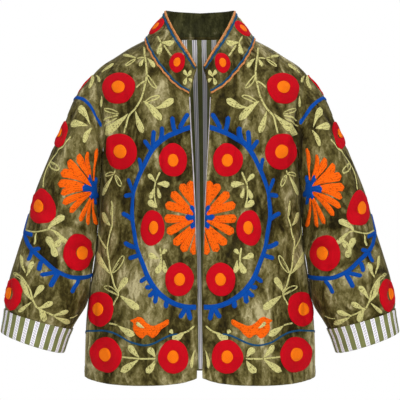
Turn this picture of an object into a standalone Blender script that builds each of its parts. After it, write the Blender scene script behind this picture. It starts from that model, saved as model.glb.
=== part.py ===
"""An embroidered velvet jacket, open in front and filled out as if worn: the pieces that are cut and sewn.

Metres, +Z up. The jacket faces -Y, its own left is +X, and z = 0 is the height of the side neck points.
Each piece of cloth is a wall between an outer and an inner sheet of points. The sheets are loft surfaces
that Blender's primitives and modifiers can't make, so they are triangulated flat, in lengths along the
cloth, and then laid on a surface worked out from the tables below.
"""

import math
from collections import namedtuple

import bpy
import numpy as np
from mathutils import Vector
from mathutils.geometry import delaunay_2d_cdt

# Thicknesses and gaps
VELVET = 0.0022
LINING = 0.0011
CUFF_CLOTH = 0.0016
LINING_INSET = 0.006
LINING_CLEAR = 0.0018
LINING_HANG = 0.0065
SEAM_GAP = 0.0003
DISC_RAISE = 0.0016
DISC_BEVEL = 0.0025

# Spacing of the points along the cloth
BODY_STEP = 0.028
SLEEVE_STEP = 0.029
COLLAR_STEP = 0.017
LINING_STEP = 0.036
ARM_STEP = 0.020
NECK_STEP = 0.016

# Horizontal sections of the body: superellipses of this power, wider than deep
Level = namedtuple("Level", "z half_width front_depth back_depth")
LEVELS = (
    Level(-0.660, 0.2130, 0.1490, 0.1440),
    Level(-0.600, 0.2115, 0.1480, 0.1400),
    Level(-0.500, 0.2075, 0.1450, 0.1330),
    Level(-0.460, 0.2030, 0.1430, 0.1300),
    Level(-0.420, 0.1960, 0.1410, 0.1275),
    Level(-0.380, 0.1905, 0.1380, 0.1255),
    Level(-0.340, 0.1870, 0.1350, 0.1240),
    Level(-0.300, 0.1860, 0.1310, 0.1235),
    Level(-0.220, 0.1900, 0.1250, 0.1250),
    Level(-0.150, 0.1950, 0.1150, 0.1240),
    Level(-0.100, 0.1975, 0.1030, 0.1180),
    Level(-0.050, 0.1990, 0.0900, 0.1080),
    Level(0.000, 0.2000, 0.0780, 0.0960),
    Level(0.060, 0.2000, 0.0680, 0.0850),
)
BODY_POWER = 2.4
BODY_WIDE = 0.200
BODY_DEEP = 0.135

# The line over the shoulders, as heights at shares of the half width
Ridge = namedtuple("Ridge", "share height")
RIDGE = (
    Ridge(0.000, 0.0520),
    Ridge(0.250, 0.0380),
    Ridge(0.515, 0.0000),
    Ridge(0.650, -0.0145),
    Ridge(0.780, -0.0310),
    Ridge(0.920, -0.0490),
    Ridge(0.985, -0.0615),
    Ridge(1.050, -0.0760),
)
SHOULDER_DROP = 0.085
SHOULDER_DEEP = 0.080

# Edges of the panels as seen from the front or the back
Edge = namedtuple("Edge", "x z")
FRONT_EDGE = (
    Edge(0.0062, -0.6045),
    Edge(0.0055, -0.4700),
    Edge(0.0068, -0.3640),
    Edge(0.0118, -0.2400),
    Edge(0.0168, -0.1500),
    Edge(0.0185, -0.1062),
)
FRONT_NECK = (
    Edge(0.0185, -0.1062),
    Edge(0.0331, -0.0989),
    Edge(0.0495, -0.0870),
    Edge(0.0643, -0.0702),
    Edge(0.0795, -0.0513),
    Edge(0.0903, -0.0332),
    Edge(0.1000, -0.0122),
    Edge(0.1030, 0.0000),
)
BACK_NECK = (
    Edge(0.0000, 0.0130),
    Edge(0.0280, 0.0128),
    Edge(0.0500, 0.0120),
    Edge(0.0700, 0.0105),
    Edge(0.0850, 0.0075),
    Edge(0.0970, 0.0035),
    Edge(0.1030, 0.0000),
)
SHOULDER_SHARE = 0.985
NECK_SHARE = 0.515
FRONT_ARMHOLE = (
    Edge(0.1880, -0.0900),
    Edge(0.1815, -0.1250),
    Edge(0.1775, -0.1650),
    Edge(0.1765, -0.2050),
    Edge(0.1790, -0.2450),
    Edge(0.1825, -0.2700),
    Edge(0.1856, -0.2880),
)
BACK_ARMHOLE = (
    Edge(0.1900, -0.0900),
    Edge(0.1850, -0.1250),
    Edge(0.1820, -0.1650),
    Edge(0.1815, -0.2050),
    Edge(0.1825, -0.2450),
    Edge(0.1840, -0.2700),
    Edge(0.1857, -0.2880),
)
UNDERARM_Z = -0.2920
FRONT_HEM = (
    Edge(0.2110, -0.6140),
    Edge(0.1700, -0.6180),
    Edge(0.1000, -0.6185),
    Edge(0.0500, -0.6150),
    Edge(0.0200, -0.6095),
    Edge(0.0062, -0.6045),
)
BACK_HEM = (
    Edge(0.2110, -0.6140),
    Edge(0.1500, -0.6175),
    Edge(0.0700, -0.6195),
    Edge(0.0000, -0.6200),
)

# Sections of the left sleeve: its outer and inner side as seen from the front, and its depth
Ring = namedtuple("Ring", "down out_x out_z in_x in_z mid_y half_depth")
RINGS = (
    Ring(0.0000, 0.1950, -0.0670, 0.1865, -0.2920, -0.002, 0.064),
    Ring(0.0329, 0.2334, -0.1070, 0.1905, -0.3020, -0.003, 0.074),
    Ring(0.0683, 0.2571, -0.1623, 0.1925, -0.3130, -0.006, 0.079),
    Ring(0.1068, 0.2806, -0.2212, 0.1935, -0.3269, -0.010, 0.080),
    Ring(0.1458, 0.3019, -0.2781, 0.1940, -0.3447, -0.017, 0.078),
    Ring(0.1968, 0.3170, -0.3376, 0.1965, -0.3842, -0.028, 0.076),
    Ring(0.2485, 0.3322, -0.3907, 0.2010, -0.4302, -0.039, 0.075),
    Ring(0.3020, 0.3460, -0.4407, 0.2095, -0.4820, -0.047, 0.073),
    Ring(0.3380, 0.3530, -0.4769, 0.2235, -0.5123, -0.051, 0.066),
    Ring(0.3545, 0.3544, -0.4916, 0.2325, -0.5279, -0.052, 0.061),
    Ring(0.3953, 0.3590, -0.5293, 0.2461, -0.5666, -0.054, 0.058),
    Ring(0.4180, 0.3619, -0.5513, 0.2524, -0.5886, -0.055, 0.058),
)
SLEEVE_ROUND = 0.440
SLEEVE_LONG = 0.490
ARMHOLE_EASE = 0.110

# The turned-back cuff, as distances up and down from the end of the sleeve
CUFF_HEIGHT = 0.0440
CUFF_STAND = 0.0016
CUFF_INSIDE = 0.0300
SLEEVE_PACE = SLEEVE_LONG / RINGS[-2].down
CUFF_TOP = SLEEVE_LONG - CUFF_HEIGHT * SLEEVE_PACE
CUFF_MIDDLE = (SLEEVE_LONG + CUFF_TOP) / 2
CUFF_SEGMENTS = 24

# The stand collar's upper edge, from the front end to the middle of the back
Rim = namedtuple("Rim", "along x y z")
COLLAR_TOP = (
    Rim(0.00, 0.0072, -0.1120, -0.0591),
    Rim(0.17, 0.0242, -0.0960, -0.0293),
    Rim(0.34, 0.0422, -0.0710, -0.0002),
    Rim(0.50, 0.0579, -0.0370, 0.0307),
    Rim(0.61, 0.0646, -0.0060, 0.0485),
    Rim(0.72, 0.0640, 0.0280, 0.0560),
    Rim(0.85, 0.0480, 0.0610, 0.0575),
    Rim(1.00, 0.0000, 0.0800, 0.0566),
)
COLLAR_LONG = 0.265
NECK_FRONT_SHARE = 0.60
COLLAR_HIGH = 0.050
COLLAR_BULGE = 0.0025

# Soft folds of the cloth: a line from start to end, its half width and its depth, outwards if positive
Fold = namedtuple("Fold", "start_s start_v end_s end_v width depth")
LEFT_FRONT_FOLDS = (
    Fold(0.062, -0.110, 0.050, -0.300, 0.020, -0.0045),
    Fold(0.098, -0.070, 0.092, -0.260, 0.022, 0.0040),
    Fold(0.150, -0.180, 0.128, -0.420, 0.024, -0.0040),
    Fold(0.090, -0.330, 0.098, -0.600, 0.024, 0.0050),
    Fold(0.052, -0.400, 0.048, -0.640, 0.022, -0.0035),
    Fold(0.165, -0.400, 0.172, -0.640, 0.024, -0.0045),
    Fold(0.215, -0.330, 0.222, -0.640, 0.024, 0.0045),
)
RIGHT_FRONT_FOLDS = (
    Fold(-0.056, -0.110, -0.046, -0.280, 0.020, -0.0045),
    Fold(-0.094, -0.080, -0.086, -0.250, 0.022, 0.0040),
    Fold(-0.146, -0.200, -0.134, -0.440, 0.024, -0.0045),
    Fold(-0.084, -0.320, -0.090, -0.580, 0.024, 0.0045),
    Fold(-0.046, -0.420, -0.050, -0.640, 0.022, -0.0035),
    Fold(-0.170, -0.420, -0.180, -0.640, 0.024, -0.0040),
    Fold(-0.212, -0.340, -0.216, -0.640, 0.024, 0.0045),
)
BACK_FOLDS = (
    Fold(-0.050, -0.280, -0.060, -0.640, 0.026, 0.0040),
    Fold(0.040, -0.300, 0.056, -0.640, 0.026, 0.0045),
    Fold(-0.150, -0.240, -0.160, -0.640, 0.026, 0.0040),
    Fold(0.150, -0.260, 0.150, -0.640, 0.026, 0.0040),
    Fold(-0.160, -0.130, -0.090, -0.240, 0.024, 0.0035),
    Fold(0.165, -0.130, 0.100, -0.250, 0.024, 0.0035),
    Fold(-0.215, -0.340, -0.218, -0.640, 0.024, 0.0040),
    Fold(0.215, -0.340, 0.218, -0.640, 0.024, 0.0040),
)
SLEEVE_FOLDS = (
    Fold(0.060, 0.250, 0.170, 0.215, 0.017, 0.0050),
    Fold(0.050, 0.300, 0.150, 0.290, 0.017, -0.0045),
    Fold(0.070, 0.345, 0.180, 0.320, 0.017, 0.0040),
    Fold(0.390, 0.250, 0.290, 0.225, 0.018, 0.0050),
    Fold(0.390, 0.310, 0.280, 0.300, 0.018, -0.0045),
    Fold(0.150, 0.370, 0.160, 0.440, 0.014, 0.0040),
    Fold(0.230, 0.375, 0.235, 0.440, 0.014, 0.0035),
    Fold(0.310, 0.370, 0.305, 0.440, 0.014, 0.0040),
    Fold(0.120, 0.080, 0.150, 0.190, 0.020, -0.0040),
    Fold(0.330, 0.080, 0.310, 0.190, 0.020, -0.0040),
)

# Thick embroidered discs. Those of the fronts and of each half of the back are in the same places
Disc = namedtuple("Disc", "x z half_width half_height")
BODY_DISCS = (
    Disc(0.1518, -0.0924, 0.0300, 0.0295),
    Disc(0.1467, -0.2043, 0.0295, 0.0315),
    Disc(0.0482, -0.2223, 0.0250, 0.0293),
    Disc(0.0860, -0.3415, 0.0220, 0.0320),
    Disc(0.0365, -0.4317, 0.0255, 0.0300),
    Disc(0.1817, -0.4888, 0.0290, 0.0310),
    Disc(0.1747, -0.5689, 0.0305, 0.0315),
    Disc(0.0482, -0.5679, 0.0262, 0.0303),
)
# Those of the sleeve and the collar are placed by their length round or along, and down or up
Spot = namedtuple("Spot", "u v half_width half_height")
SLEEVE_DISCS = (
    Spot(0.2200, 0.0330, 0.0290, 0.0290),
    Spot(0.1817, 0.0990, 0.0290, 0.0290),
    Spot(0.2583, 0.0990, 0.0290, 0.0290),
    Spot(0.1590, 0.1964, 0.0290, 0.0310),
    Spot(0.2810, 0.1964, 0.0290, 0.0310),
    Spot(0.0622, 0.2622, 0.0290, 0.0310),
    Spot(0.3778, 0.2622, 0.0290, 0.0310),
    Spot(0.1718, 0.3890, 0.0280, 0.0290),
    Spot(0.2682, 0.3890, 0.0280, 0.0290),
)
COLLAR_DISCS = (
    Spot(0.0442, 0.0262, 0.0155, 0.0170),
    Spot(0.1345, 0.0262, 0.0155, 0.0170),
    Spot(0.2150, 0.0262, 0.0155, 0.0170),
)

DISC_RING = 12


def column(rows, name):
    return np.array([getattr(row, name) for row in rows])


def smooth_curve(knots, values, at):
    """Values on a smooth curve through the knots, each knot's slope taken from its two neighbours.

    Past its ends the curve goes straight on.
    """
    knots = np.asarray(knots, float)
    values = np.asarray(values, float)
    slopes = np.gradient(values, knots)
    past = at - np.clip(at, knots[0], knots[-1])
    at = at - past
    i = np.clip(np.searchsorted(knots, at) - 1, 0, len(knots) - 2)
    gap = knots[i + 1] - knots[i]
    t = (at - knots[i]) / gap
    start = (1 + 2 * t) * (1 - t) ** 2 * values[i] + t * (1 - t) ** 2 * gap * slopes[i]
    end = t**2 * (3 - 2 * t) * values[i + 1] + t**2 * (t - 1) * gap * slopes[i + 1]
    return start + end + past * np.where(past < 0, slopes[0], slopes[-1])


def smooth_step(t):
    t = np.clip(t, 0, 1)
    return t * t * (3 - 2 * t)


def quarter_superellipse(power, wide, deep, steps=1500, beyond=0.15):
    """Shares of the length, across and depth of a quarter superellipse, carried on past its far end."""
    angle = np.linspace(0, math.pi / 2, steps)
    across = np.sin(angle) ** (2 / power)
    depth = np.cos(angle) ** (2 / power)
    pace = np.hypot(wide * np.diff(across), deep * np.diff(depth))
    length = np.concatenate([[0], np.cumsum(pace)])
    share = length / length[-1]
    past = share > 1 - beyond
    share = np.concatenate([share, (2 - share[past])[::-1][1:]])
    across = np.concatenate([across, across[past][::-1][1:]])
    depth = np.concatenate([depth, -depth[past][::-1][1:]])
    return share, across, depth, length[-1]


ROUND_SHARE, ROUND_ACROSS, ROUND_DEPTH, BODY_QUARTER = quarter_superellipse(
    BODY_POWER, BODY_WIDE, BODY_DEEP
)
OVER_SHARE, OVER_UP, OVER_DEPTH, SHOULDER_ARC = quarter_superellipse(
    2, SHOULDER_DROP, SHOULDER_DEEP
)


def half_width(z):
    return smooth_curve(column(LEVELS, "z"), column(LEVELS, "half_width"), z)


def depth(z, face):
    name = "front_depth" if face < 0 else "back_depth"
    return smooth_curve(column(LEVELS, "z"), column(LEVELS, name), z)


def ridge(share):
    return smooth_curve(column(RIDGE, "share"), column(RIDGE, "height"), share)


def body_surface(s, v, face):
    """The body at a length s round from the centre line, and v up the cloth, which is z below the shoulders.

    face is -1 for the front and 1 for the back. Near the top v runs on over the shoulder to the ridge.
    """
    share = np.interp(np.abs(s) / BODY_QUARTER, ROUND_SHARE, ROUND_ACROSS)
    round_depth = np.interp(np.abs(s) / BODY_QUARTER, ROUND_SHARE, ROUND_DEPTH)
    start = ridge(share) - SHOULDER_DROP
    over = np.clip((v - start) / SHOULDER_ARC, 0, 1.15)
    z = np.where(v < start, v, start + SHOULDER_DROP * np.interp(over, OVER_SHARE, OVER_UP))
    deep = round_depth * np.interp(over, OVER_SHARE, OVER_DEPTH)
    x = np.sign(s) * half_width(z) * share
    return np.stack([x, face * depth(z, face) * deep, z], axis=-1)


def on_body(x, z):
    """The lengths (s, v) along the cloth of a body point given by its place seen from the front."""
    share = np.abs(x) / half_width(z)
    s = np.interp(share, ROUND_ACROSS[ROUND_SHARE <= 1], ROUND_SHARE[ROUND_SHARE <= 1]) * BODY_QUARTER
    start = ridge(share) - SHOULDER_DROP
    up = np.clip((z - start) / SHOULDER_DROP, 0, 1)
    over = np.interp(up, OVER_UP[OVER_SHARE <= 1], OVER_SHARE[OVER_SHARE <= 1])
    return np.sign(x) * s, np.where(z < start, z, start + SHOULDER_ARC * over)


def ridge_line(share):
    """(s, v) of the shoulder seam at shares of the half width."""
    s = np.interp(share, ROUND_ACROSS[ROUND_SHARE <= 1], ROUND_SHARE[ROUND_SHARE <= 1]) * BODY_QUARTER
    return s, ridge(share) - SHOULDER_DROP + SHOULDER_ARC


def fold_relief(folds, s, v):
    """How far out the folds push the cloth: each is a soft ridge or trough that fades at its ends."""
    total = np.zeros(np.broadcast(s, v).shape)
    for fold in folds:
        along = np.array([fold.end_s - fold.start_s, fold.end_v - fold.start_v])
        length = np.hypot(*along)
        unit = along / length
        ahead = (s - fold.start_s) * unit[0] + (v - fold.start_v) * unit[1]
        aside = (s - fold.start_s) * unit[1] - (v - fold.start_v) * unit[0]
        fade = smooth_step(ahead / (0.3 * length)) * smooth_step((length - ahead) / (0.25 * length))
        total = total + fold.depth * np.exp(-((aside / fold.width) ** 2)) * fade
    return total


def normals(surface, u, v, turn):
    """Unit normals from a small step each way along the surface, turned outwards by turn."""
    step = 0.001
    across = surface(u + step, v) - surface(u - step, v)
    upward = surface(u, v + step) - surface(u, v - step)
    out = np.cross(across, upward) * turn
    return out / np.linalg.norm(out, axis=-1, keepdims=True)


def folded(surface, turn, relief):
    """The same surface with a relief along its normals."""

    def moved(u, v):
        return surface(u, v) + normals(surface, u, v, turn) * relief(u, v)[..., None]

    return moved


def even_points(points, spacing):
    """The same line with evenly spaced points, its ends kept."""
    points = np.asarray(points, float)
    pace = np.hypot(*np.diff(points, axis=0).T)
    length = np.concatenate([[0], np.cumsum(pace)])
    count = max(2, int(round(length[-1] / spacing)) + 1)
    at = np.linspace(0, length[-1], count)
    return np.stack([np.interp(at, length, points[:, i]) for i in range(2)], axis=-1)


def smooth_line(rows, steps=60):
    """A smooth line through rows of x and z, as seen from the front."""
    rows = np.array([(row.x, row.z) for row in rows])
    knots = np.concatenate([[0], np.cumsum(np.hypot(*np.diff(rows, axis=0).T))])
    at = np.linspace(0, knots[-1], steps)
    return np.stack([smooth_curve(knots, rows[:, i], at) for i in range(2)], axis=-1)


def cloth_line(rows):
    """A smooth line through rows of x and z, in lengths along the cloth."""
    line = smooth_line(rows)
    return np.stack(on_body(line[:, 0], line[:, 1]), axis=-1)


def joined(runs):
    """One closed outline from runs that end where the next begins."""
    return np.concatenate([run[:-1] for run in runs])


def inside(points, outline):
    """Whether each point is inside the closed outline, by counting crossings."""
    x, y = points[:, :1], points[:, 1:]
    x0, y0 = outline.T
    x1, y1 = np.roll(outline, -1, axis=0).T
    with np.errstate(divide="ignore", invalid="ignore"):
        crossing = ((y0 > y) != (y1 > y)) & (x < (x1 - x0) * (y - y0) / (y1 - y0) + x0)
    return crossing.sum(axis=1) % 2 == 1


def distance_to(points, outline):
    """Distance of each point from the closed outline."""
    start = outline
    along = np.roll(outline, -1, axis=0) - start
    offset = points[:, None] - start[None]
    t = np.clip((offset * along).sum(-1) / (along**2).sum(-1), 0, 1)
    return np.linalg.norm(offset - t[..., None] * along, axis=-1).min(axis=1)


def lattice(outline, spacing):
    """Rows of points half a step apart, inside the outline and not too near it."""
    low, high = outline.min(axis=0), outline.max(axis=0)
    rise = spacing * math.sqrt(3) / 2
    rows = []
    for k, y in enumerate(np.arange(low[1] + rise / 2, high[1], rise)):
        x = np.arange(low[0] + spacing * (0.25 + 0.5 * (k % 2)), high[0], spacing)
        rows.append(np.stack([x, np.full(len(x), y)], axis=-1))
    points = np.concatenate(rows)
    points = points[inside(points, outline)]
    return points[distance_to(points, outline) > 0.5 * spacing]


def disc_rings(spot, stretch_u, stretch_v):
    """Points of a disc on the cloth: its foot, its raised edge and its middle."""
    rings = []
    for count, share, inset in ((DISC_RING, 1, 0), (DISC_RING, 1, DISC_BEVEL), (1, 0, 0)):
        angle = np.arange(count) * 2 * math.pi / count
        across = (spot.half_width * share - inset) * np.cos(angle) / stretch_u
        upward = (spot.half_height * share - inset) * np.sin(angle) / stretch_v
        rings.append(np.stack([spot.u + across, spot.v + upward], axis=-1))
    return rings


def stretches(surface, u, v):
    """How many metres of surface each flat metre gives there, across and up."""
    step = 0.004
    u, v = np.array([u]), np.array([v])
    across = surface(u + step, v) - surface(u - step, v)
    upward = surface(u, v + step) - surface(u, v - step)
    return np.linalg.norm(across) / (2 * step), np.linalg.norm(upward) / (2 * step)


def flat_sheet(outline, spacing, surface, spots, rows=()):
    """Flat points, triangles over the outline, and which points are raised. Each disc has rings of its own."""
    fill = lattice(outline, spacing)
    for row in rows:
        nearest = np.linalg.norm(fill[:, None] - row[None], axis=-1).min(axis=1)
        fill = fill[nearest > 0.6 * spacing]
    fill = np.concatenate([fill, *rows])
    groups = [outline]
    raised = [np.zeros(len(outline))]
    loops = [np.arange(len(outline))]
    for spot in spots:
        rings = disc_rings(spot, *stretches(surface, spot.u, spot.v))
        fill = fill[~inside(fill, rings[0])]
        fill = fill[distance_to(fill, rings[0]) > 0.35 * spacing]
        for level, ring in enumerate(rings):
            first = sum(len(group) for group in groups)
            groups.append(ring)
            raised.append(np.full(len(ring), float(level > 0)))
            if level < 2:
                loops.append(np.arange(first, first + len(ring)))
    groups.append(fill)
    raised.append(np.zeros(len(fill)))
    points = np.concatenate(groups)
    edges = [(int(a), int(b)) for loop in loops for a, b in zip(loop, np.roll(loop, -1))]
    made = delaunay_2d_cdt([Vector(p) for p in points], edges, [], 1, 1e-7, True)
    kept = [ids[0] for ids in made[3]]
    triangles = np.array([[kept[i] for i in face] for face in made[2]])
    triangles = triangles[inside(points[triangles].mean(axis=1), outline)]
    return points, triangles, np.concatenate(raised)


def wall(name, points, triangles, raised, surface, turn, thickness, material, weld=None):
    """A closed wall of cloth: outer points, inner points a thickness in, and a rim along every free edge."""
    u, v = points[:, 0], points[:, 1]
    place = surface(u, v)
    out = normals(surface, u, v, turn)
    if weld is not None:
        triangles = weld[triangles]
    if turn < 0:
        triangles = triangles[:, ::-1]
    outer = place + out * (raised * DISC_RAISE)[:, None]
    inner = place - out * thickness
    sides = np.concatenate([triangles[:, [0, 1]], triangles[:, [1, 2]], triangles[:, [2, 0]]])
    known = set(map(tuple, sides.tolist()))
    free = np.array([side for side in known if side[::-1] not in known])
    free = free[np.lexsort(free.T)]
    count = len(points)
    faces = triangles.tolist() + (triangles[:, ::-1] + count).tolist()
    faces += [(b, a, a + count, b + count) for a, b in free.tolist()]
    used = np.unique(np.concatenate([np.ravel(face) for face in faces]))
    index = np.zeros(2 * count, int)
    index[used] = np.arange(len(used))
    vertices = np.concatenate([outer, inner])[used]
    return solid(name, vertices, [[int(index[i]) for i in face] for face in faces], material)


def solid(name, vertices, faces, material):
    mesh = bpy.data.meshes.new(name)
    mesh.from_pydata([tuple(map(float, p)) for p in vertices], [], faces)
    mesh.validate()
    mesh.materials.append(material)
    mesh.shade_smooth()
    made = bpy.data.objects.new(name, mesh)
    JACKET.objects.link(made)
    return made


def cloth_material(name, colour, roughness, sheen):
    material = bpy.data.materials.new(name)
    material.use_nodes = True
    shader = material.node_tree.nodes["Principled BSDF"]
    shader.inputs["Base Color"].default_value = (*colour, 1)
    shader.inputs["Roughness"].default_value = roughness
    shader.inputs["Metallic"].default_value = 0
    shader.inputs["Sheen Weight"].default_value = sheen
    return material


def body_spots(discs, side):
    """The discs of one half of the body, placed along the cloth. Their sizes are those of the real disc."""
    made = []
    for disc in discs:
        s, v = on_body(np.array([side * disc.x]), np.array([disc.z]))
        made.append(Spot(float(s[0]), float(v[0]), disc.half_width, disc.half_height))
    return made


def front_surface(side):
    folds = LEFT_FRONT_FOLDS if side > 0 else RIGHT_FRONT_FOLDS
    return folded(
        lambda s, v: body_surface(s, v, -1), 1, lambda s, v: fold_relief(folds, s, v)
    )


def back_surface():
    return folded(
        lambda s, v: body_surface(s, v, 1), -1, lambda s, v: fold_relief(BACK_FOLDS, s, v)
    )


def side_seam(end_v, spacing):
    """The side seam from the underarm down, half a gap short of the half way line."""
    s = BODY_QUARTER - SEAM_GAP / 2
    return even_points([(s, UNDERARM_Z), (s, end_v)], spacing)


def half_outline(centre, neck, armhole, hem, spacing):
    """Runs of a half panel's outline: up the centre, round the neck, shoulder, armhole, side and hem."""
    shares = np.linspace(NECK_SHARE, SHOULDER_SHARE, 30)
    shoulder = np.stack(ridge_line(shares), axis=-1)
    shoulder[:, 1] -= SEAM_GAP / 2
    neck_edge = cloth_line(neck)
    neck_edge[-1] = shoulder[0]
    seam = side_seam(on_body(np.array([hem[0].x]), np.array([hem[0].z]))[1][0], spacing)
    hem_line = cloth_line(hem)
    hem_line[0] = seam[-1]
    runs = [
        even_points(neck_edge, NECK_STEP),
        even_points(shoulder, spacing),
        even_points(arm_line(armhole), ARM_STEP),
        seam,
        even_points(hem_line, spacing),
    ]
    if centre is not None:
        centre_line = cloth_line(centre)
        centre_line[0] = hem_line[-1]
        centre_line[-1] = neck_edge[0]
        runs.insert(0, even_points(centre_line, spacing))
    return runs


def mirrored(points):
    return points * np.array([-1, 1])


def build_front(name, side):
    """One front, from the open edge to the side seam. side is 1 for the jacket's left and -1 for its right."""
    surface = front_surface(side)
    outline = joined(half_outline(FRONT_EDGE, FRONT_NECK, FRONT_ARMHOLE, FRONT_HEM, BODY_STEP))[::-1]
    if side < 0:
        outline = mirrored(outline)[::-1]
    spots = body_spots(BODY_DISCS, side)
    points, triangles, raised = flat_sheet(outline, BODY_STEP, surface, spots)
    return wall(name, points, triangles, raised, surface, 1, VELVET, VELVET_CLOTH)


def whole_back_outline(spacing):
    """The back's outline from its right half and that half mirrored."""
    runs = half_outline(None, BACK_NECK, BACK_ARMHOLE, BACK_HEM, spacing)
    left = np.concatenate([run[:-1] for run in runs] + [runs[-1][-1:]])[::-1]
    right = mirrored(left)[::-1]
    return np.concatenate([left, right[1:-1]])


def build_back():
    """The back, one piece from side seam to side seam."""
    surface = back_surface()
    spots = body_spots(BODY_DISCS, 1) + body_spots(BODY_DISCS, -1)
    points, triangles, raised = flat_sheet(whole_back_outline(BODY_STEP), BODY_STEP, surface, spots)
    return wall("back", points, triangles, raised, surface, -1, VELVET, VELVET_CLOTH)


def build_back_lining():
    """The striped lining of the back, which hangs a little clear of the velvet except along its seams."""
    outline = whole_back_outline(BODY_STEP)
    along = np.roll(outline, -1, axis=0) - np.roll(outline, 1, axis=0)
    inward = np.stack([-along[:, 1], along[:, 0]], axis=-1)
    shrunk = outline + LINING_INSET * inward / np.linalg.norm(inward, axis=1, keepdims=True)

    def surface(s, v):
        base = body_surface(s, v, 1)
        flat = np.stack([np.ravel(s), np.ravel(v)], axis=-1)
        clear = smooth_step(distance_to(flat, shrunk) / 0.035) * inside(flat, shrunk)
        deep = VELVET + LINING_CLEAR + LINING_HANG * clear.reshape(np.shape(s))
        return base - normals(lambda a, b: body_surface(a, b, 1), s, v, -1) * deep[..., None]

    points, triangles, raised = flat_sheet(shrunk, LINING_STEP, surface, [])
    return wall("back_lining", points, triangles, raised, surface, -1, LINING, LINING_CLOTH)


def arm_line(armhole):
    """The armhole from the shoulder to the underarm, along the cloth."""
    shoulder = np.array([[v[0] for v in ridge_line(np.array([SHOULDER_SHARE]))]])
    shoulder[:, 1] -= SEAM_GAP / 2
    underarm = np.array([[BODY_QUARTER - SEAM_GAP / 2, UNDERARM_Z]])
    return np.concatenate([shoulder, cloth_line(armhole), underarm])


def armhole_edge(armhole, side, surface, turn):
    """Where the sleeve meets one panel's edge, from the underarm to the shoulder."""
    line = even_points(arm_line(armhole), 0.002)[::-1] * np.array([side, 1])
    place = surface(line[:, 0], line[:, 1])
    out = normals(surface, line[:, 0], line[:, 1], turn)
    tangent = np.gradient(place, axis=0)
    away = np.cross(out, tangent)
    away /= np.linalg.norm(away, axis=1, keepdims=True)
    away *= np.sign(away[:, :1]) * side
    return place + SEAM_GAP * (away + np.array([side, 0, 0]))


def whole_armhole(side):
    """The armhole all round from the underarm by way of the front, and shares of the way round."""
    front = armhole_edge(FRONT_ARMHOLE, side, front_surface(side), 1)
    back = armhole_edge(BACK_ARMHOLE, side, back_surface(), -1)
    share = np.concatenate([np.linspace(0, 0.5, len(front)), np.linspace(0.5, 1, len(back))[1:]])
    return share, np.concatenate([front, back[::-1][1:]])


def armhole_stops():
    """Lengths round the sleeve at which its edge meets the points of the panels' edges."""
    front = len(even_points(arm_line(FRONT_ARMHOLE), ARM_STEP))
    back = len(even_points(arm_line(BACK_ARMHOLE), ARM_STEP))
    shares = np.concatenate([np.linspace(0, 0.5, front), np.linspace(0.5, 1, back)[1:]])
    return shares * SLEEVE_ROUND


def sleeve_surface(u, v, side):
    """The sleeve at a length u round from the underarm seam, by way of the front, and v down from the armhole."""
    turn = (u / SLEEVE_ROUND) % 1
    knots = column(RINGS, "down")
    down = v / SLEEVE_LONG * RINGS[-2].down
    out_x, out_z, in_x, in_z, mid_y, half_depth = (
        smooth_curve(knots, column(RINGS, name), down)
        for name in ("out_x", "out_z", "in_x", "in_z", "mid_y", "half_depth")
    )
    lean = (1 - np.cos(2 * math.pi * turn)) / 2
    x = in_x + (out_x - in_x) * lean
    z = in_z + (out_z - in_z) * lean
    y = mid_y - half_depth * np.sin(2 * math.pi * turn)
    tube = np.stack([x, y, z], axis=-1)
    share, place = ARMHOLES[side]
    edge = np.stack([np.interp(turn, share, place[:, i]) for i in range(3)], axis=-1)
    edge = edge * np.array([side, 1, 1])
    top = RINGS[0]
    top_x = top.in_x + (top.out_x - top.in_x) * lean
    top_z = top.in_z + (top.out_z - top.in_z) * lean
    top_y = top.mid_y - top.half_depth * np.sin(2 * math.pi * turn)
    ease = 1 - smooth_step(down / ARMHOLE_EASE)[..., None]
    tube = tube + (edge - np.stack([top_x, top_y, top_z], axis=-1)) * ease
    return tube * np.array([side, 1, 1])


def folded_sleeve(side):
    return folded(
        lambda u, v: sleeve_surface(u, v, side), -side, lambda u, v: fold_relief(SLEEVE_FOLDS, u, v)
    )


def build_sleeve(name, side):
    """One sleeve, a tube closed along the underarm, from the armhole to its turned-back end."""
    surface = folded_sleeve(side)
    stops = armhole_stops()
    across = np.stack([stops, np.zeros(len(stops))], axis=-1)
    up = even_points([(SLEEVE_ROUND, 0), (SLEEVE_ROUND, SLEEVE_LONG)], SLEEVE_STEP)
    round_end = np.linspace(0, SLEEVE_ROUND, CUFF_SEGMENTS + 1)
    end = np.stack([round_end[::-1], np.full(len(round_end), SLEEVE_LONG)], axis=-1)
    down = np.stack([np.zeros(len(up)), up[::-1, 1]], axis=-1)
    outline = joined([across, up, end, down])
    rows = [end[1:-1] * np.array([1, 0]) + np.array([0, v]) for v in (CUFF_MIDDLE, CUFF_TOP)]
    points, triangles, raised = flat_sheet(outline, SLEEVE_STEP, surface, SLEEVE_DISCS, rows)
    first_right = len(across) - 1
    rights = first_right + np.arange(len(up))
    lefts = np.concatenate([[0], len(outline) - 1 - np.arange(len(up) - 1)])
    weld = np.arange(len(points))
    weld[rights] = lefts
    return wall(name, points, triangles, raised, surface, -side, VELVET, VELVET_CLOTH, weld)


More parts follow.
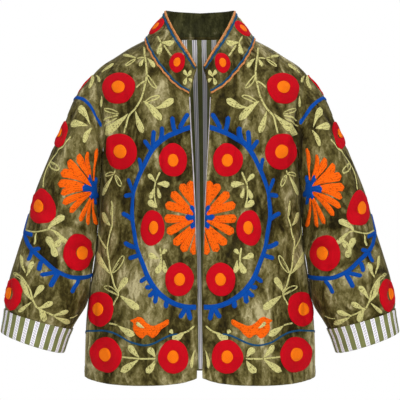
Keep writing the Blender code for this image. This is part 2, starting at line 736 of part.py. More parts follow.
def build_cuff(name, side):
    """The turned-back cuff: an outer band, the fold round the end of the sleeve, and a short band inside."""
    surface = folded_sleeve(side)
    end, top = SLEEVE_LONG, CUFF_TOP
    gap = SEAM_GAP * 1.6
    inner = -VELVET - gap
    inner_top = end - CUFF_INSIDE * SLEEVE_PACE
    profile = (
        (gap + CUFF_STAND, top),
        (gap + CUFF_STAND + CUFF_CLOTH, top),
        (gap + CUFF_STAND * 0.8 + CUFF_CLOTH, CUFF_MIDDLE),
        (gap + CUFF_CLOTH, end),
        ((gap + inner) / 2 + CUFF_CLOTH * 0.7, end + 0.0028),
        ((gap + inner) / 2 - CUFF_CLOTH * 0.7, end + 0.0028),
        (inner - CUFF_CLOTH, end),
        (inner - CUFF_CLOTH, inner_top),
        (inner, inner_top),
        (inner, end),
        (inner, end + gap * 1.3),
        (gap, end + gap * 1.3),
        (gap, end),
        (gap + CUFF_STAND * 0.8, CUFF_MIDDLE),
    )
    u = np.arange(CUFF_SEGMENTS) * SLEEVE_ROUND / CUFF_SEGMENTS
    rings = []
    for offset, v in profile:
        level = np.full(len(u), v)
        rings.append(surface(u, level) + offset * normals(surface, u, level, -side))
    vertices = np.concatenate(rings)
    faces = []
    for k in range(len(profile)):
        for i in range(CUFF_SEGMENTS):
            j = (i + 1) % CUFF_SEGMENTS
            low, high = k * CUFF_SEGMENTS, (k + 1) % len(profile) * CUFF_SEGMENTS
            face = (low + i, low + j, high + j, high + i)
            faces.append(face[::-1] if side > 0 else face)
    return solid(name, vertices, faces, LINING_CLOTH)


def neck_edge(side):
    """The neck seam from one front to the middle of the back, as points and shares of its length."""
    lines = []
    for rows, surface in ((FRONT_NECK, front_surface(side)), (BACK_NECK[::-1], back_surface())):
        line = even_points(cloth_line(rows), 0.002) * np.array([side, 1])
        lines.append(surface(line[:, 0], line[:, 1]))
    place = np.concatenate([lines[0], lines[1][1:]])
    share = [np.linspace(0, NECK_FRONT_SHARE, len(lines[0]))]
    share += [np.linspace(NECK_FRONT_SHARE, 1, len(lines[1]))[1:]]
    return np.concatenate(share), place * np.array([side, 1, 1])


def neck_columns(side):
    share, place = neck_edge(side)
    return [(share, place[:, i]) for i in range(3)]


def neck_stops():
    """Lengths along the collar at which its foot meets the points of the panels' edges."""
    front = len(even_points(cloth_line(FRONT_NECK), NECK_STEP))
    back = len(even_points(cloth_line(BACK_NECK), NECK_STEP))
    half = [np.linspace(0, NECK_FRONT_SHARE, front), np.linspace(NECK_FRONT_SHARE, 1, back)[1:]]
    half = np.concatenate(half) * COLLAR_LONG
    return np.concatenate([half, 2 * COLLAR_LONG - half[::-1][1:]])


def collar_surface(u, v):
    """The collar at a length u along from its left front end, and v up from the neck seam."""
    share = u / COLLAR_LONG
    side = np.where(share <= 1, 1.0, -1.0)
    share = np.where(share <= 1, share, 2 - share)
    left, right = (
        np.stack([np.interp(share, *edge) for edge in NECK_EDGES[which]], axis=-1)
        for which in (1, -1)
    )
    foot = np.where(side[..., None] > 0, left, right)
    knots = column(COLLAR_TOP, "along")
    head = np.stack([smooth_curve(knots, column(COLLAR_TOP, n), share) for n in "xyz"], axis=-1)
    up = (v / COLLAR_HIGH)[..., None]
    rise = head - foot
    out = foot * np.array([1, 1, 0])
    out = out / np.maximum(np.linalg.norm(out, axis=-1, keepdims=True), 1e-6)
    bulge = out * COLLAR_BULGE * np.sin(math.pi * np.clip(up, 0, 1))
    seam = SEAM_GAP * 1.5 * rise / np.linalg.norm(rise, axis=-1, keepdims=True)
    return (foot + seam + rise * up + bulge) * np.stack([side, side**2, side**2], axis=-1)


def build_collar():
    """The stand collar, one band from front end to front end."""
    long = 2 * COLLAR_LONG
    stops = neck_stops()
    foot = np.stack([stops, np.zeros(len(stops))], axis=-1)
    corners = [(long, 0), (long, COLLAR_HIGH), (0, COLLAR_HIGH), (0, 0)]
    sides = [foot] + [even_points(corners[i : i + 2], COLLAR_STEP) for i in range(3)]
    spots = list(COLLAR_DISCS) + [spot._replace(u=long - spot.u) for spot in COLLAR_DISCS]
    points, triangles, raised = flat_sheet(joined(sides), COLLAR_STEP, collar_surface, spots)
    return wall("collar", points, triangles, raised, collar_surface, 1, VELVET, VELVET_CLOTH)


for old in list(bpy.data.objects):
    bpy.data.objects.remove(old)
JACKET = bpy.data.collections.new("embroidered_jacket")
bpy.context.scene.collection.children.link(JACKET)
VELVET_CLOTH = cloth_material("olive_velvet", (0.090, 0.080, 0.030), 0.75, 0.6)
LINING_CLOTH = cloth_material("striped_lining", (0.300, 0.320, 0.190), 0.85, 0.1)

ARMHOLES = {side: whole_armhole(side) for side in (1, -1)}
NECK_EDGES = {side: neck_columns(side) for side in (1, -1)}
build_front("front_left", 1)
build_front("front_right", -1)
build_back()
build_back_lining()
build_sleeve("sleeve_left", 1)
build_sleeve("sleeve_right", -1)
build_cuff("cuff_left", 1)
build_cuff("cuff_right", -1)
build_collar()
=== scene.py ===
"""The looks of an embroidered velvet jacket: crushed velvet, striped lining and thick embroidery.

Metres, +Z up, the front faces -Y. The cloth's form is worked out from the same sections as its solids.
A place on a panel is a pair of lengths along the cloth: s from the centre line and v up. On a sleeve they
are u round from the underarm by way of the front, and v down. Side 1 is the jacket's own left, at +X.
"""

import math
from collections import namedtuple

import bpy
import numpy as np
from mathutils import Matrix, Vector
from mathutils.geometry import delaunay_2d_cdt


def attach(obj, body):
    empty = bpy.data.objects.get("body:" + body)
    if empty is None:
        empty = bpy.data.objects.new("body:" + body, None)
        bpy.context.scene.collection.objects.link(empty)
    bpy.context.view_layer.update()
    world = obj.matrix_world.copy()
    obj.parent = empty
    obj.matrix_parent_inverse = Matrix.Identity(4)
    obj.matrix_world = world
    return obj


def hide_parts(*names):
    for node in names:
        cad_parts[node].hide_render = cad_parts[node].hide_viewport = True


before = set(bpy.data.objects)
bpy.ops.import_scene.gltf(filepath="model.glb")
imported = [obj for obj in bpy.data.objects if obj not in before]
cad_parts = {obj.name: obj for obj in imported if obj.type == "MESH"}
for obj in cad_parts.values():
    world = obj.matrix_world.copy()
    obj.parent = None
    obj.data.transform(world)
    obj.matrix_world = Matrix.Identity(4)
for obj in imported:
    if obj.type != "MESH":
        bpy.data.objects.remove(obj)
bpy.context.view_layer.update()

SIDES = ((1, "left"), (-1, "right"))


def table(kind, *rows):
    """Rows of numbers as named tuples of one kind."""
    return tuple(kind(*row) for row in rows)


# The velvet body. Two fronts and a back of cotton velvet are sewn at the shoulders and sides, with
# the nap crushed by wear and washing. Each is cut flat, so its outline is worked out in lengths along
# the cloth and then laid on superellipse sections that are wider than deep.
VELVET_THICK = 0.0022
SEAM_GAP = 0.0003
Level = namedtuple("Level", "z half_width front_depth back_depth")
LEVELS = table(
    Level,
    (-0.66, 0.213, 0.149, 0.144), (-0.6, 0.2115, 0.148, 0.14), (-0.5, 0.2075, 0.145, 0.133),
    (-0.46, 0.203, 0.143, 0.13), (-0.42, 0.196, 0.141, 0.1275), (-0.38, 0.1905, 0.138, 0.1255),
    (-0.34, 0.187, 0.135, 0.124), (-0.3, 0.186, 0.131, 0.1235), (-0.22, 0.19, 0.125, 0.125),
    (-0.15, 0.195, 0.115, 0.124), (-0.1, 0.1975, 0.103, 0.118), (-0.05, 0.199, 0.09, 0.108),
    (0.0, 0.2, 0.078, 0.096), (0.06, 0.2, 0.068, 0.085),
)
BODY_POWER, BODY_WIDE, BODY_DEEP = 2.4, 0.200, 0.135
SHOULDER_DROP, SHOULDER_DEEP = 0.085, 0.080
Ridge = namedtuple("Ridge", "share height")
RIDGE = table(
    Ridge,
    (0.0, 0.052), (0.25, 0.038), (0.515, 0.0), (0.65, -0.0145), (0.78, -0.031), (0.92, -0.049),
    (0.985, -0.0615), (1.05, -0.076),
)
Edge = namedtuple("Edge", "x z")
FRONT_EDGE = table(
    Edge,
    (0.0062, -0.6045), (0.0055, -0.47), (0.0068, -0.364), (0.0118, -0.24), (0.0168, -0.15),
    (0.0185, -0.1062),
)
FRONT_NECK = table(
    Edge,
    (0.0185, -0.1062), (0.0331, -0.0989), (0.0495, -0.087), (0.0643, -0.0702), (0.0795, -0.0513),
    (0.0903, -0.0332), (0.1, -0.0122), (0.103, 0.0),
)
BACK_NECK = table(
    Edge,
    (0.0, 0.013), (0.028, 0.0128), (0.05, 0.012), (0.07, 0.0105), (0.085, 0.0075), (0.097, 0.0035),
    (0.103, 0.0),
)
FRONT_ARMHOLE = table(
    Edge,
    (0.188, -0.09), (0.1815, -0.125), (0.1775, -0.165), (0.1765, -0.205), (0.179, -0.245),
    (0.1825, -0.27), (0.1856, -0.288),
)
BACK_ARMHOLE = table(
    Edge,
    (0.19, -0.09), (0.185, -0.125), (0.182, -0.165), (0.1815, -0.205), (0.1825, -0.245), (0.184, -0.27),
    (0.1857, -0.288),
)
FRONT_HEM = table(
    Edge,
    (0.211, -0.614), (0.17, -0.618), (0.1, -0.6185), (0.05, -0.615), (0.02, -0.6095), (0.0062, -0.6045),
)
BACK_HEM = table(
    Edge,
    (0.211, -0.614), (0.15, -0.6175), (0.07, -0.6195), (0.0, -0.62),
)
SHOULDER_SHARE, NECK_SHARE, UNDERARM_Z = 0.985, 0.515, -0.2920
CLOTH_STEP = 0.0048
SEAM_ALLOWANCE, SEWN_ALLOWANCE, EDGE_TUCK, TUCK_WIDE = 0.0013, 0.0028, 0.0006, 0.0040
NECK_AND_ARM_S, NECK_AND_ARM_V = 0.030, -0.060
# The fold relief at which the painted fold shade is full.
FULL_FOLD_SHADE = 0.005
HEM_TURNING = 0.019

# Folds and creases run from start to end along the cloth. All is in millimetres, and a positive
# depth is a ridge. The first rows of each table are the large folds of the solids.
Fold = namedtuple("Fold", "start_s start_v end_s end_v width depth")
LEFT_FRONT_FOLDS = table(
    Fold,
    (62, -110, 50, -300, 20, -4.5), (98, -70, 92, -260, 22, 4.0), (150, -180, 128, -420, 24, -4.0),
    (90, -330, 98, -600, 24, 5.0), (52, -400, 48, -640, 22, -3.5), (165, -400, 172, -640, 24, -4.5),
    (215, -330, 222, -640, 24, 4.5), (84, -120, 79, -330, 5, 2.4), (74, -400, 71, -615, 5, 2.4),
    (250, -440, 170, -520, 9, -2.2), (130, -460, 96, -540, 8, -2.0), (160, -260, 118, -330, 9, -2.4),
    (73, -95, 66, -245, 7, -3.9), (60, -120, 41, -215, 6, 2.7), (88, -50, 83, -185, 6, 2.4),
    (205, -110, 180, -250, 8, -3.9), (190, -95, 163, -215, 6, 2.7), (222, -300, 150, -345, 8, -3.3),
    (235, -330, 168, -385, 7, 2.7), (30, -210, 26, -330, 6, -2.1), (24, -420, 30, -560, 6, 2.2),
    (122, -430, 118, -590, 8, 2.8), (196, -420, 203, -580, 7, -2.7), (244, -420, 248, -610, 8, -3.0),
    (130, -75, 152, -150, 7, -2.1),
)
RIGHT_FRONT_FOLDS = table(
    Fold,
    (-56, -110, -46, -280, 20, -4.5), (-94, -80, -86, -250, 22, 4.0),
    (-146, -200, -134, -440, 24, -4.5), (-84, -320, -90, -580, 24, 4.5),
    (-46, -420, -50, -640, 22, -3.5), (-170, -420, -180, -640, 24, -4.0),
    (-212, -340, -216, -640, 24, 4.5), (-83, -110, -78, -310, 5, 2.4), (-70, -420, -69, -610, 5, 2.4),
    (-252, -450, -172, -540, 9, -2.2), (-126, -470, -98, -560, 8, -2.0),
    (-158, -250, -122, -340, 9, -2.4), (-78, -90, -71, -265, 7, -4.2), (-66, -125, -48, -225, 6, 2.5),
    (-94, -55, -80, -170, 6, 2.2), (-208, -120, -184, -270, 9, -4.2), (-193, -100, -170, -235, 6, 2.8),
    (-220, -305, -158, -360, 8, -3.0), (-238, -345, -176, -400, 7, 2.5),
    (-26, -180, -24, -310, 6, -2.2), (-26, -440, -31, -580, 6, 2.1), (-117, -410, -121, -570, 8, 2.7),
    (-198, -440, -200, -600, 7, -2.8), (-246, -400, -250, -600, 8, -3.0),
    (-134, -80, -148, -160, 7, -2.0),
)
BACK_FOLDS = table(
    Fold,
    (-50, -280, -60, -640, 26, 4.0), (40, -300, 56, -640, 26, 4.5), (-150, -240, -160, -640, 26, 4.0),
    (150, -260, 150, -640, 26, 4.0), (-160, -130, -90, -240, 24, 3.5), (165, -130, 100, -250, 24, 3.5),
    (-215, -340, -218, -640, 24, 4.0), (215, -340, 218, -640, 24, 4.0),
    (-196, -105, -132, -215, 8, 3.3), (199, -110, 128, -205, 8, 3.0), (-205, -160, -158, -270, 8, -2.7),
    (204, -150, 162, -280, 8, -2.7), (-20, -20, -90, -100, 9, 2.4), (18, -15, 95, -95, 9, 2.5),
    (-105, -330, -112, -560, 9, -2.7), (100, -350, 96, -580, 9, -2.7), (6, -300, -8, -520, 9, -2.5),
    (-185, -380, -190, -600, 8, 2.7), (186, -360, 188, -590, 8, 2.8), (-236, -320, -180, -360, 8, 2.7),
    (238, -315, 185, -350, 8, 2.5),
)


# The padded discs of the embroidery draw the cloth in, so their places are needed here. They are the
# same on each front and on each half of the back, given by x and z and half sizes along the cloth.
Disc = namedtuple("Disc", "x z half_width half_height heart_shift")
BODY_DISCS = table(
    Disc,
    (0.149, -0.0909, 0.038, 0.03, -0.0036), (0.1445, -0.2063, 0.0395, 0.0322, -0.0038),
    (0.0478, -0.2223, 0.0265, 0.0298, 0.0), (0.0838, -0.3425, 0.0235, 0.0315, -0.0034),
    (0.0362, -0.4322, 0.0256, 0.0296, -0.0006), (0.1805, -0.488, 0.033, 0.0312, 0.0036),
    (0.1705, -0.5685, 0.037, 0.0318, -0.0006), (0.0467, -0.5679, 0.0254, 0.03, 0.0006),
)


# Lines and surfaces. Each surface is a function of two lengths along the cloth, worked out on whole
# arrays, so that panels, folds and stitches can all be laid on it at any place.
def column(rows, name):
    return np.array([getattr(row, name) for row in rows])


def unit(vectors):
    return vectors / np.maximum(np.linalg.norm(vectors, axis=-1, keepdims=True), 1e-12)


def stacked(*parts):
    """One array of points or vectors from an array for each of their coordinates."""
    return np.stack(parts, axis=-1)


def lengths_along(points):
    """The length of a line of points up to each of them."""
    return np.concatenate([[0], np.cumsum(np.hypot(*np.diff(points, axis=0).T))])


def points_at(at, knots, points):
    """Points on straight lines between those at the knots."""
    return np.stack([np.interp(at, knots, values) for values in np.transpose(points)], axis=-1)


def smooth_curve(knots, values, at):
    """Values on a smooth curve through the knots, each knot's slope taken from its two neighbours.

    Past its ends the curve goes straight on.
    """
    knots = np.asarray(knots, float)
    values = np.asarray(values, float)
    slopes = np.gradient(values, knots)
    past = at - np.clip(at, knots[0], knots[-1])
    at = at - past
    i = np.clip(np.searchsorted(knots, at) - 1, 0, len(knots) - 2)
    gap = knots[i + 1] - knots[i]
    t = (at - knots[i]) / gap
    start = (1 + 2 * t) * (1 - t) ** 2 * values[i] + t * (1 - t) ** 2 * gap * slopes[i]
    end = t**2 * (3 - 2 * t) * values[i + 1] + t**2 * (t - 1) * gap * slopes[i + 1]
    return start + end + past * np.where(past < 0, slopes[0], slopes[-1])


def smooth_step(t):
    t = np.clip(t, 0, 1)
    return t * t * (3 - 2 * t)


def quarter_superellipse(power, wide, deep, steps=1500, beyond=0.15):
    """Shares of the length, across and depth of a quarter superellipse, carried on past its far end."""
    angle = np.linspace(0, math.pi / 2, steps)
    across = np.sin(angle) ** (2 / power)
    depth = np.cos(angle) ** (2 / power)
    pace = np.hypot(wide * np.diff(across), deep * np.diff(depth))
    length = np.concatenate([[0], np.cumsum(pace)])
    share = length / length[-1]
    past = share > 1 - beyond
    share = np.concatenate([share, (2 - share[past])[::-1][1:]])
    across = np.concatenate([across, across[past][::-1][1:]])
    depth = np.concatenate([depth, -depth[past][::-1][1:]])
    return share, across, depth, length[-1]


ROUND_SHARE, ROUND_ACROSS, ROUND_DEPTH, BODY_QUARTER = quarter_superellipse(
    BODY_POWER, BODY_WIDE, BODY_DEEP
)
OVER_SHARE, OVER_UP, OVER_DEPTH, SHOULDER_ARC = quarter_superellipse(
    2, SHOULDER_DROP, SHOULDER_DEEP
)


def half_width(z):
    """Half the width of the body at a height."""
    return smooth_curve(column(LEVELS, "z"), column(LEVELS, "half_width"), z)


def body_depth(z, face):
    """How far the body reaches forwards or backwards at a height."""
    name = "front_depth" if face < 0 else "back_depth"
    return smooth_curve(column(LEVELS, "z"), column(LEVELS, name), z)


def ridge(share):
    """The height of the shoulder line at a share of the half width."""
    return smooth_curve(column(RIDGE, "share"), column(RIDGE, "height"), share)


def body_surface(s, v, face):
    """A place on the body: s goes round its superellipse, v goes up and then over the shoulder.

    face is -1 for the front and 1 for the back.
    """
    share = np.interp(np.abs(s) / BODY_QUARTER, ROUND_SHARE, ROUND_ACROSS)
    round_depth = np.interp(np.abs(s) / BODY_QUARTER, ROUND_SHARE, ROUND_DEPTH)
    start = ridge(share) - SHOULDER_DROP
    over = np.clip((v - start) / SHOULDER_ARC, 0, 1.15)
    z = np.where(v < start, v, start + SHOULDER_DROP * np.interp(over, OVER_SHARE, OVER_UP))
    deep = round_depth * np.interp(over, OVER_SHARE, OVER_DEPTH)
    x = np.sign(s) * half_width(z) * share
    return stacked(x, face * body_depth(z, face) * deep, z)


def on_body(x, z):
    """The lengths (s, v) along the cloth of a body point given by its place seen from the front."""
    share = np.abs(x) / half_width(z)
    inner = ROUND_SHARE <= 1
    s = np.interp(share, ROUND_ACROSS[inner], ROUND_SHARE[inner]) * BODY_QUARTER
    start = ridge(share) - SHOULDER_DROP
    up = np.clip((z - start) / SHOULDER_DROP, 0, 1)
    inner = OVER_SHARE <= 1
    over = np.interp(up, OVER_UP[inner], OVER_SHARE[inner])
    return np.sign(x) * s, np.where(z < start, z, start + SHOULDER_ARC * over)


def ridge_line(share):
    """(s, v) of the shoulder seam at shares of the half width."""
    inner = ROUND_SHARE <= 1
    s = np.interp(share, ROUND_ACROSS[inner], ROUND_SHARE[inner]) * BODY_QUARTER
    return s, ridge(share) - SHOULDER_DROP + SHOULDER_ARC


def fold_relief(folds, s, v):
    """How far out the folds push the cloth: each is a soft ridge or trough that fades at its ends."""
    total = np.zeros(np.broadcast(s, v).shape)
    for fold in folds:
        start_s, start_v, end_s, end_v, width, depth = np.array(fold) / 1000
        length = math.hypot(end_s - start_s, end_v - start_v)
        way_s, way_v = (end_s - start_s) / length, (end_v - start_v) / length
        ahead = (s - start_s) * way_s + (v - start_v) * way_v
        aside = (s - start_s) * way_v - (v - start_v) * way_s
        fade = smooth_step(ahead / (0.3 * length)) * smooth_step((length - ahead) / (0.25 * length))
        total = total + depth * np.exp(-((aside / width) ** 2)) * fade
    return total


def normals(surface, u, v, turn):
    """Unit normals from a small step each way along the surface, turned outwards by turn."""
    step = 0.001
    across = surface(u + step, v) - surface(u - step, v)
    upward = surface(u, v + step) - surface(u, v - step)
    return unit(np.cross(across, upward) * turn)


def folded(surface, turn, relief):
    """The same surface with a relief along its normals."""

    def moved(u, v):
        return surface(u, v) + normals(surface, u, v, turn) * relief(u, v)[..., None]

    return moved


MOTIF_EASE = 0.0042
HEM_GROOVE, HEM_GROOVE_WIDE, HEM_WAVE = 0.0010, 0.0022, 0.00045
PUCKER, PUCKER_SINK, PUCKER_AT, PUCKER_WIDE = 0.0009, 0.0006, 1.20, 0.22
BODY_SPOTS = [
    (*np.ravel(on_body(np.array([row.x]), np.array([row.z]))), row.half_width, row.half_height)
    for row in BODY_DISCS
]


def hem_relief(s, v, hem):
    """A shallow groove along the line that holds the turned-up hem, and small puckers below it."""
    line = np.array([tuple(row) for row in hem])
    hem_s, hem_v = on_body(line[:, 0], line[:, 1])
    order = np.argsort(hem_s)
    up = v - np.interp(np.abs(s), hem_s[order], hem_v[order])
    groove = -HEM_GROOVE * np.exp(-(((up - HEM_TURNING) / HEM_GROOVE_WIDE) ** 2))
    wave = np.sin(s * 410 + 2.1 * np.sin(s * 67)) + 0.6 * np.sin(s * 233 + 1.3)
    return groove + HEM_WAVE * wave * smooth_step((0.030 - up) / 0.014)


def pucker_relief(spots, u, v):
    """Small radial puckers where each padded disc draws the cloth in round its rim.

    spots has rows of centre and half sizes. The ripples are strongest a little outside the rim.
    """
    total = np.zeros(np.broadcast(u, v).shape)
    for i, (spot_u, spot_v, half_u, half_v) in enumerate(spots):
        across, upward = (u - spot_u) / half_u, (v - spot_v) / half_v
        angle = np.arctan2(upward, across)
        ripple = np.cos((8 + i % 3) * angle + 1.9 * i) + 0.6 * np.cos(5 * angle + 0.8 * i)
        ring = np.exp(-(((np.hypot(across, upward) - PUCKER_AT) / PUCKER_WIDE) ** 2))
        total = total + (PUCKER * ripple - PUCKER_SINK) * ring
    return total


def eased_out(s):
    """How much farther out the motifs of the left front lie than those of the right front."""
    return MOTIF_EASE * smooth_step((s - 0.040) / 0.060)


Cloth = namedtuple("Cloth", "surface turn relief")


def body_cloth(face, turn, folds, hem, across):
    """One panel of the body with its folds, hem and puckers. across says where s lies on the discs' side."""

    def relief(s, v):
        plain = fold_relief(folds, s, v) + hem_relief(s, v, hem)
        return plain + pucker_relief(BODY_SPOTS, across(s), v)

    return Cloth(folded(lambda s, v: body_surface(s, v, face), turn, relief), turn, relief)


FRONTS = {
    1: body_cloth(-1, 1, LEFT_FRONT_FOLDS, FRONT_HEM, lambda s: s - eased_out(s)),
    -1: body_cloth(-1, 1, RIGHT_FRONT_FOLDS, FRONT_HEM, np.negative),
}
BACK = body_cloth(1, -1, BACK_FOLDS, BACK_HEM, np.abs)


# Laying out the cloth: outlines from evenly spaced points, flat sheets of triangles inside them, and
# closed walls of cloth over those sheets.
def even_points(points, spacing):
    """The same line with evenly spaced points, its ends kept."""
    points = np.asarray(points, float)
    length = lengths_along(points)
    count = max(2, int(round(length[-1] / spacing)) + 1)
    return points_at(np.linspace(0, length[-1], count), length, points)


def smooth_path(rows, steps=60):
    """A smooth line through rows of two values."""
    rows = np.asarray(rows, float)
    knots = lengths_along(rows)
    at = np.linspace(0, knots[-1], steps)
    return np.stack([smooth_curve(knots, rows[:, i], at) for i in range(2)], axis=-1)


def cloth_line(rows):
    """A smooth line through rows of x and z, in lengths along the cloth."""
    line = smooth_path([tuple(row) for row in rows])
    return np.stack(on_body(line[:, 0], line[:, 1]), axis=-1)


def rectangle_runs(wide, high, spacing):
    """The four sides of a rectangle that starts at the origin, each with evenly spaced points."""
    corners = [(0, 0), (wide, 0), (wide, high), (0, high), (0, 0)]
    return [even_points(corners[i : i + 2], spacing) for i in range(4)]


def joined(runs):
    """One closed outline from runs that end where the next begins."""
    return np.concatenate([run[:-1] for run in runs])


def inside(points, outline):
    """Whether each point is inside the closed outline, by counting crossings."""
    x, y = points[:, :1], points[:, 1:]
    x0, y0 = outline.T
    x1, y1 = np.roll(outline, -1, axis=0).T
    with np.errstate(divide="ignore", invalid="ignore"):
        crossing = ((y0 > y) != (y1 > y)) & (x < (x1 - x0) * (y - y0) / (y1 - y0) + x0)
    return crossing.sum(axis=1) % 2 == 1


def distance_to(points, outline):
    """Distance of each point from the closed outline."""
    along = np.roll(outline, -1, axis=0) - outline
    nearest = np.full(len(points), np.inf)
    for start, edge in zip(outline, along):
        offset = points - start
        t = np.clip(offset @ edge / max(edge @ edge, 1e-14), 0, 1)
        nearest = np.minimum(nearest, np.linalg.norm(offset - t[:, None] * edge, axis=-1))
    return nearest


def flat_sheet(outline, spacing):
    """Flat points and triangles over the outline, in staggered rows."""
    low, high = outline.min(axis=0), outline.max(axis=0)
    x, y = np.meshgrid(np.arange(low[0], high[0], spacing), np.arange(low[1], high[1], spacing * 0.866))
    x = x + spacing / 2 * (np.arange(len(x)) % 2)[:, None]
    fill = stacked(x.ravel(), y.ravel())
    fill = fill[inside(fill, outline)]
    fill = fill[distance_to(fill, outline) > 0.55 * spacing]
    points = np.concatenate([outline, fill])
    edges = [(i, (i + 1) % len(outline)) for i in range(len(outline))]
    made = delaunay_2d_cdt([Vector(p) for p in points], edges, [], 1, 1e-7, True)
    kept = np.array([ids[0] for ids in made[3]])
    triangles = kept[np.array(made[2])]
    return points, triangles[inside(points[triangles].mean(axis=1), outline)]


def new_object(name, data):
    """A new object at the origin of the scene."""
    made = bpy.data.objects.new(name, data)
    bpy.context.scene.collection.objects.link(made)
    return made


def add_piece(name, vertices, faces, corner_uv, materials, face_material=None, sharp=None):
    """A piece of the jacket from whole arrays. Its UV map holds lengths along it, in metres."""
    mesh = bpy.data.meshes.new(name)
    mesh.from_pydata(vertices.tolist(), [], faces.tolist())
    mesh.uv_layers.new(name="UVMap").data.foreach_set("uv", np.ravel(corner_uv).astype(np.float32))
    for material in materials:
        mesh.materials.append(material)
    if face_material is not None:
        mesh.polygons.foreach_set("material_index", face_material.astype(np.int32))
    mesh.shade_smooth()
    if sharp:
        mesh.set_sharp_from_angle(angle=math.radians(sharp))
    mesh.update()
    piece = new_object(name, mesh)
    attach(piece, "root")
    return piece


def seam_allowance(points, outline, allowance):
    """A small move away from the panel for the points of its outline, none for the others."""
    along = np.roll(outline, -1, axis=0) - np.roll(outline, 1, axis=0)
    away = unit(stacked(along[:, 1], -along[:, 0]))
    x, y = outline.T
    if np.sum(x * np.roll(y, -1) - y * np.roll(x, -1)) < 0:
        away = -away
    moves = np.zeros((len(points), 2))
    moves[: len(outline)] = away * np.asarray(allowance)
    return moves


def body_allowance(outline):
    """The seam allowance round a front or the back: wider where the sleeves and collar are sewn on."""
    s, v = outline.T
    sewn = (v > UNDERARM_Z) & ((np.abs(s) > NECK_AND_ARM_S) | (v > NECK_AND_ARM_V))
    return np.where(sewn, SEWN_ALLOWANCE, SEAM_ALLOWANCE)[:, None]


def used_only(faces, count):
    """Which of so many vertices the faces use, and the faces renumbered to those."""
    used = np.unique(faces)
    index = np.zeros(count, int)
    index[used] = np.arange(len(used))
    return used, index[faces]


def cloth_wall(
    name, points, triangles, cloth, thickness, materials,
    tuck=0.0, weld=None, outline=None, moves=0.0, lap=0.0,
):
    """A closed wall of cloth with its outer face on the surface.

    The outer edges are tucked in towards the seams, and moves spreads the inner ones under them. lap is
    the share of those moves that the outer edges take too, where a seam lies deep between two panels.
    """
    u, v = points[:, 0], points[:, 1]
    out = normals(cloth.surface, u, v, cloth.turn)
    sunk = np.zeros(len(points))
    if tuck:
        sunk = tuck * np.exp(-((distance_to(points, outline) / TUCK_WIDE) ** 2))
    outer = cloth.surface(*(points + lap * moves).T) - out * sunk[:, None]
    inner = cloth.surface(*(points + moves).T) - out * (sunk[:, None] + thickness)
    flat = triangles if cloth.turn > 0 else triangles[:, ::-1]
    tied = flat if weld is None else weld[flat]
    sides, loose = (np.concatenate([t[:, [0, 1]], t[:, [1, 2]], t[:, [2, 0]]]) for t in (tied, flat))
    count = len(points)
    code = sides[:, 0] * count + sides[:, 1]
    free = ~np.isin(code, sides[:, 1] * count + sides[:, 0])
    a, b = sides[free].T
    rim = np.concatenate([stacked(b, a, a + count), stacked(b, a + count, b + count)])
    a, b = loose[free].T
    rim_flat = np.concatenate([stacked(b, a, a), stacked(b, a, b)])
    faces = np.concatenate([tied, tied[:, ::-1] + count, rim])
    corners = np.concatenate([points[flat], points[flat[:, ::-1]], points[rim_flat]])
    which = np.repeat([0, 1, 0], [len(tied), len(tied), len(rim)])
    used, faces = used_only(faces, 2 * count)
    piece = add_piece(name, np.concatenate([outer, inner])[used], faces, corners, materials, which, 55)
    # Painted shade for the velvet: the relief is stored so that ridges are coloured lighter and troughs
    # darker.
    painted_fold_shade = np.tile(np.clip(cloth.relief(u, v) / FULL_FOLD_SHADE, -1, 1), 2)[used]
    attribute = piece.data.attributes.new("painted_fold_shade", "FLOAT", "POINT")
    attribute.data.foreach_set("value", painted_fold_shade.astype(np.float32))
    return piece


def shoelace(outline):
    """The area inside a closed outline."""
    x, y = outline.T
    return abs(np.sum(x * np.roll(y, -1) - y * np.roll(x, -1))) / 2


def declare_cut(outline):
    """Works out the box round a panel's flat outline and its area, but keeps neither."""
    size = outline.max(axis=0) - outline.min(axis=0)
    shoelace(outline)


def arm_line(armhole):
    """The armhole from the shoulder to the underarm, along the cloth."""
    shoulder = np.array([[v[0] for v in ridge_line(np.array([SHOULDER_SHARE]))]])
    shoulder[:, 1] -= SEAM_GAP / 2
    underarm = np.array([[BODY_QUARTER - SEAM_GAP / 2, UNDERARM_Z]])
    return np.concatenate([shoulder, cloth_line(armhole), underarm])


def half_outline(centre, neck, armhole, hem, spacing):
    """Runs of a half panel's outline: up the centre, round the neck, shoulder, armhole, side and hem."""
    shares = np.linspace(NECK_SHARE, SHOULDER_SHARE, 30)
    shoulder = np.stack(ridge_line(shares), axis=-1)
    shoulder[:, 1] -= SEAM_GAP / 2
    neck_edge = cloth_line(neck)
    neck_edge[-1] = shoulder[0]
    hem_line = cloth_line(hem)
    side_s = BODY_QUARTER - SEAM_GAP / 2
    seam = even_points([(side_s, UNDERARM_Z), (side_s, hem_line[0, 1])], spacing)
    hem_line[0] = seam[-1]
    runs = [even_points(neck_edge, spacing), even_points(shoulder, spacing)]
    runs += [even_points(arm_line(armhole), spacing), seam, even_points(hem_line, spacing)]
    if centre is not None:
        centre_line = cloth_line(centre)
        centre_line[0] = hem_line[-1]
        centre_line[-1] = neck_edge[0]
        runs.insert(0, even_points(centre_line, spacing))
    return runs


def whole_back_outline(spacing):
    """The back's outline from its right half and that half mirrored."""
    runs = half_outline(None, BACK_NECK, BACK_ARMHOLE, BACK_HEM, spacing)
    left = np.concatenate([run[:-1] for run in runs] + [runs[-1][-1:]])[::-1]
    right = (left * (-1, 1))[::-1]
    return np.concatenate([left, right[1:-1]])


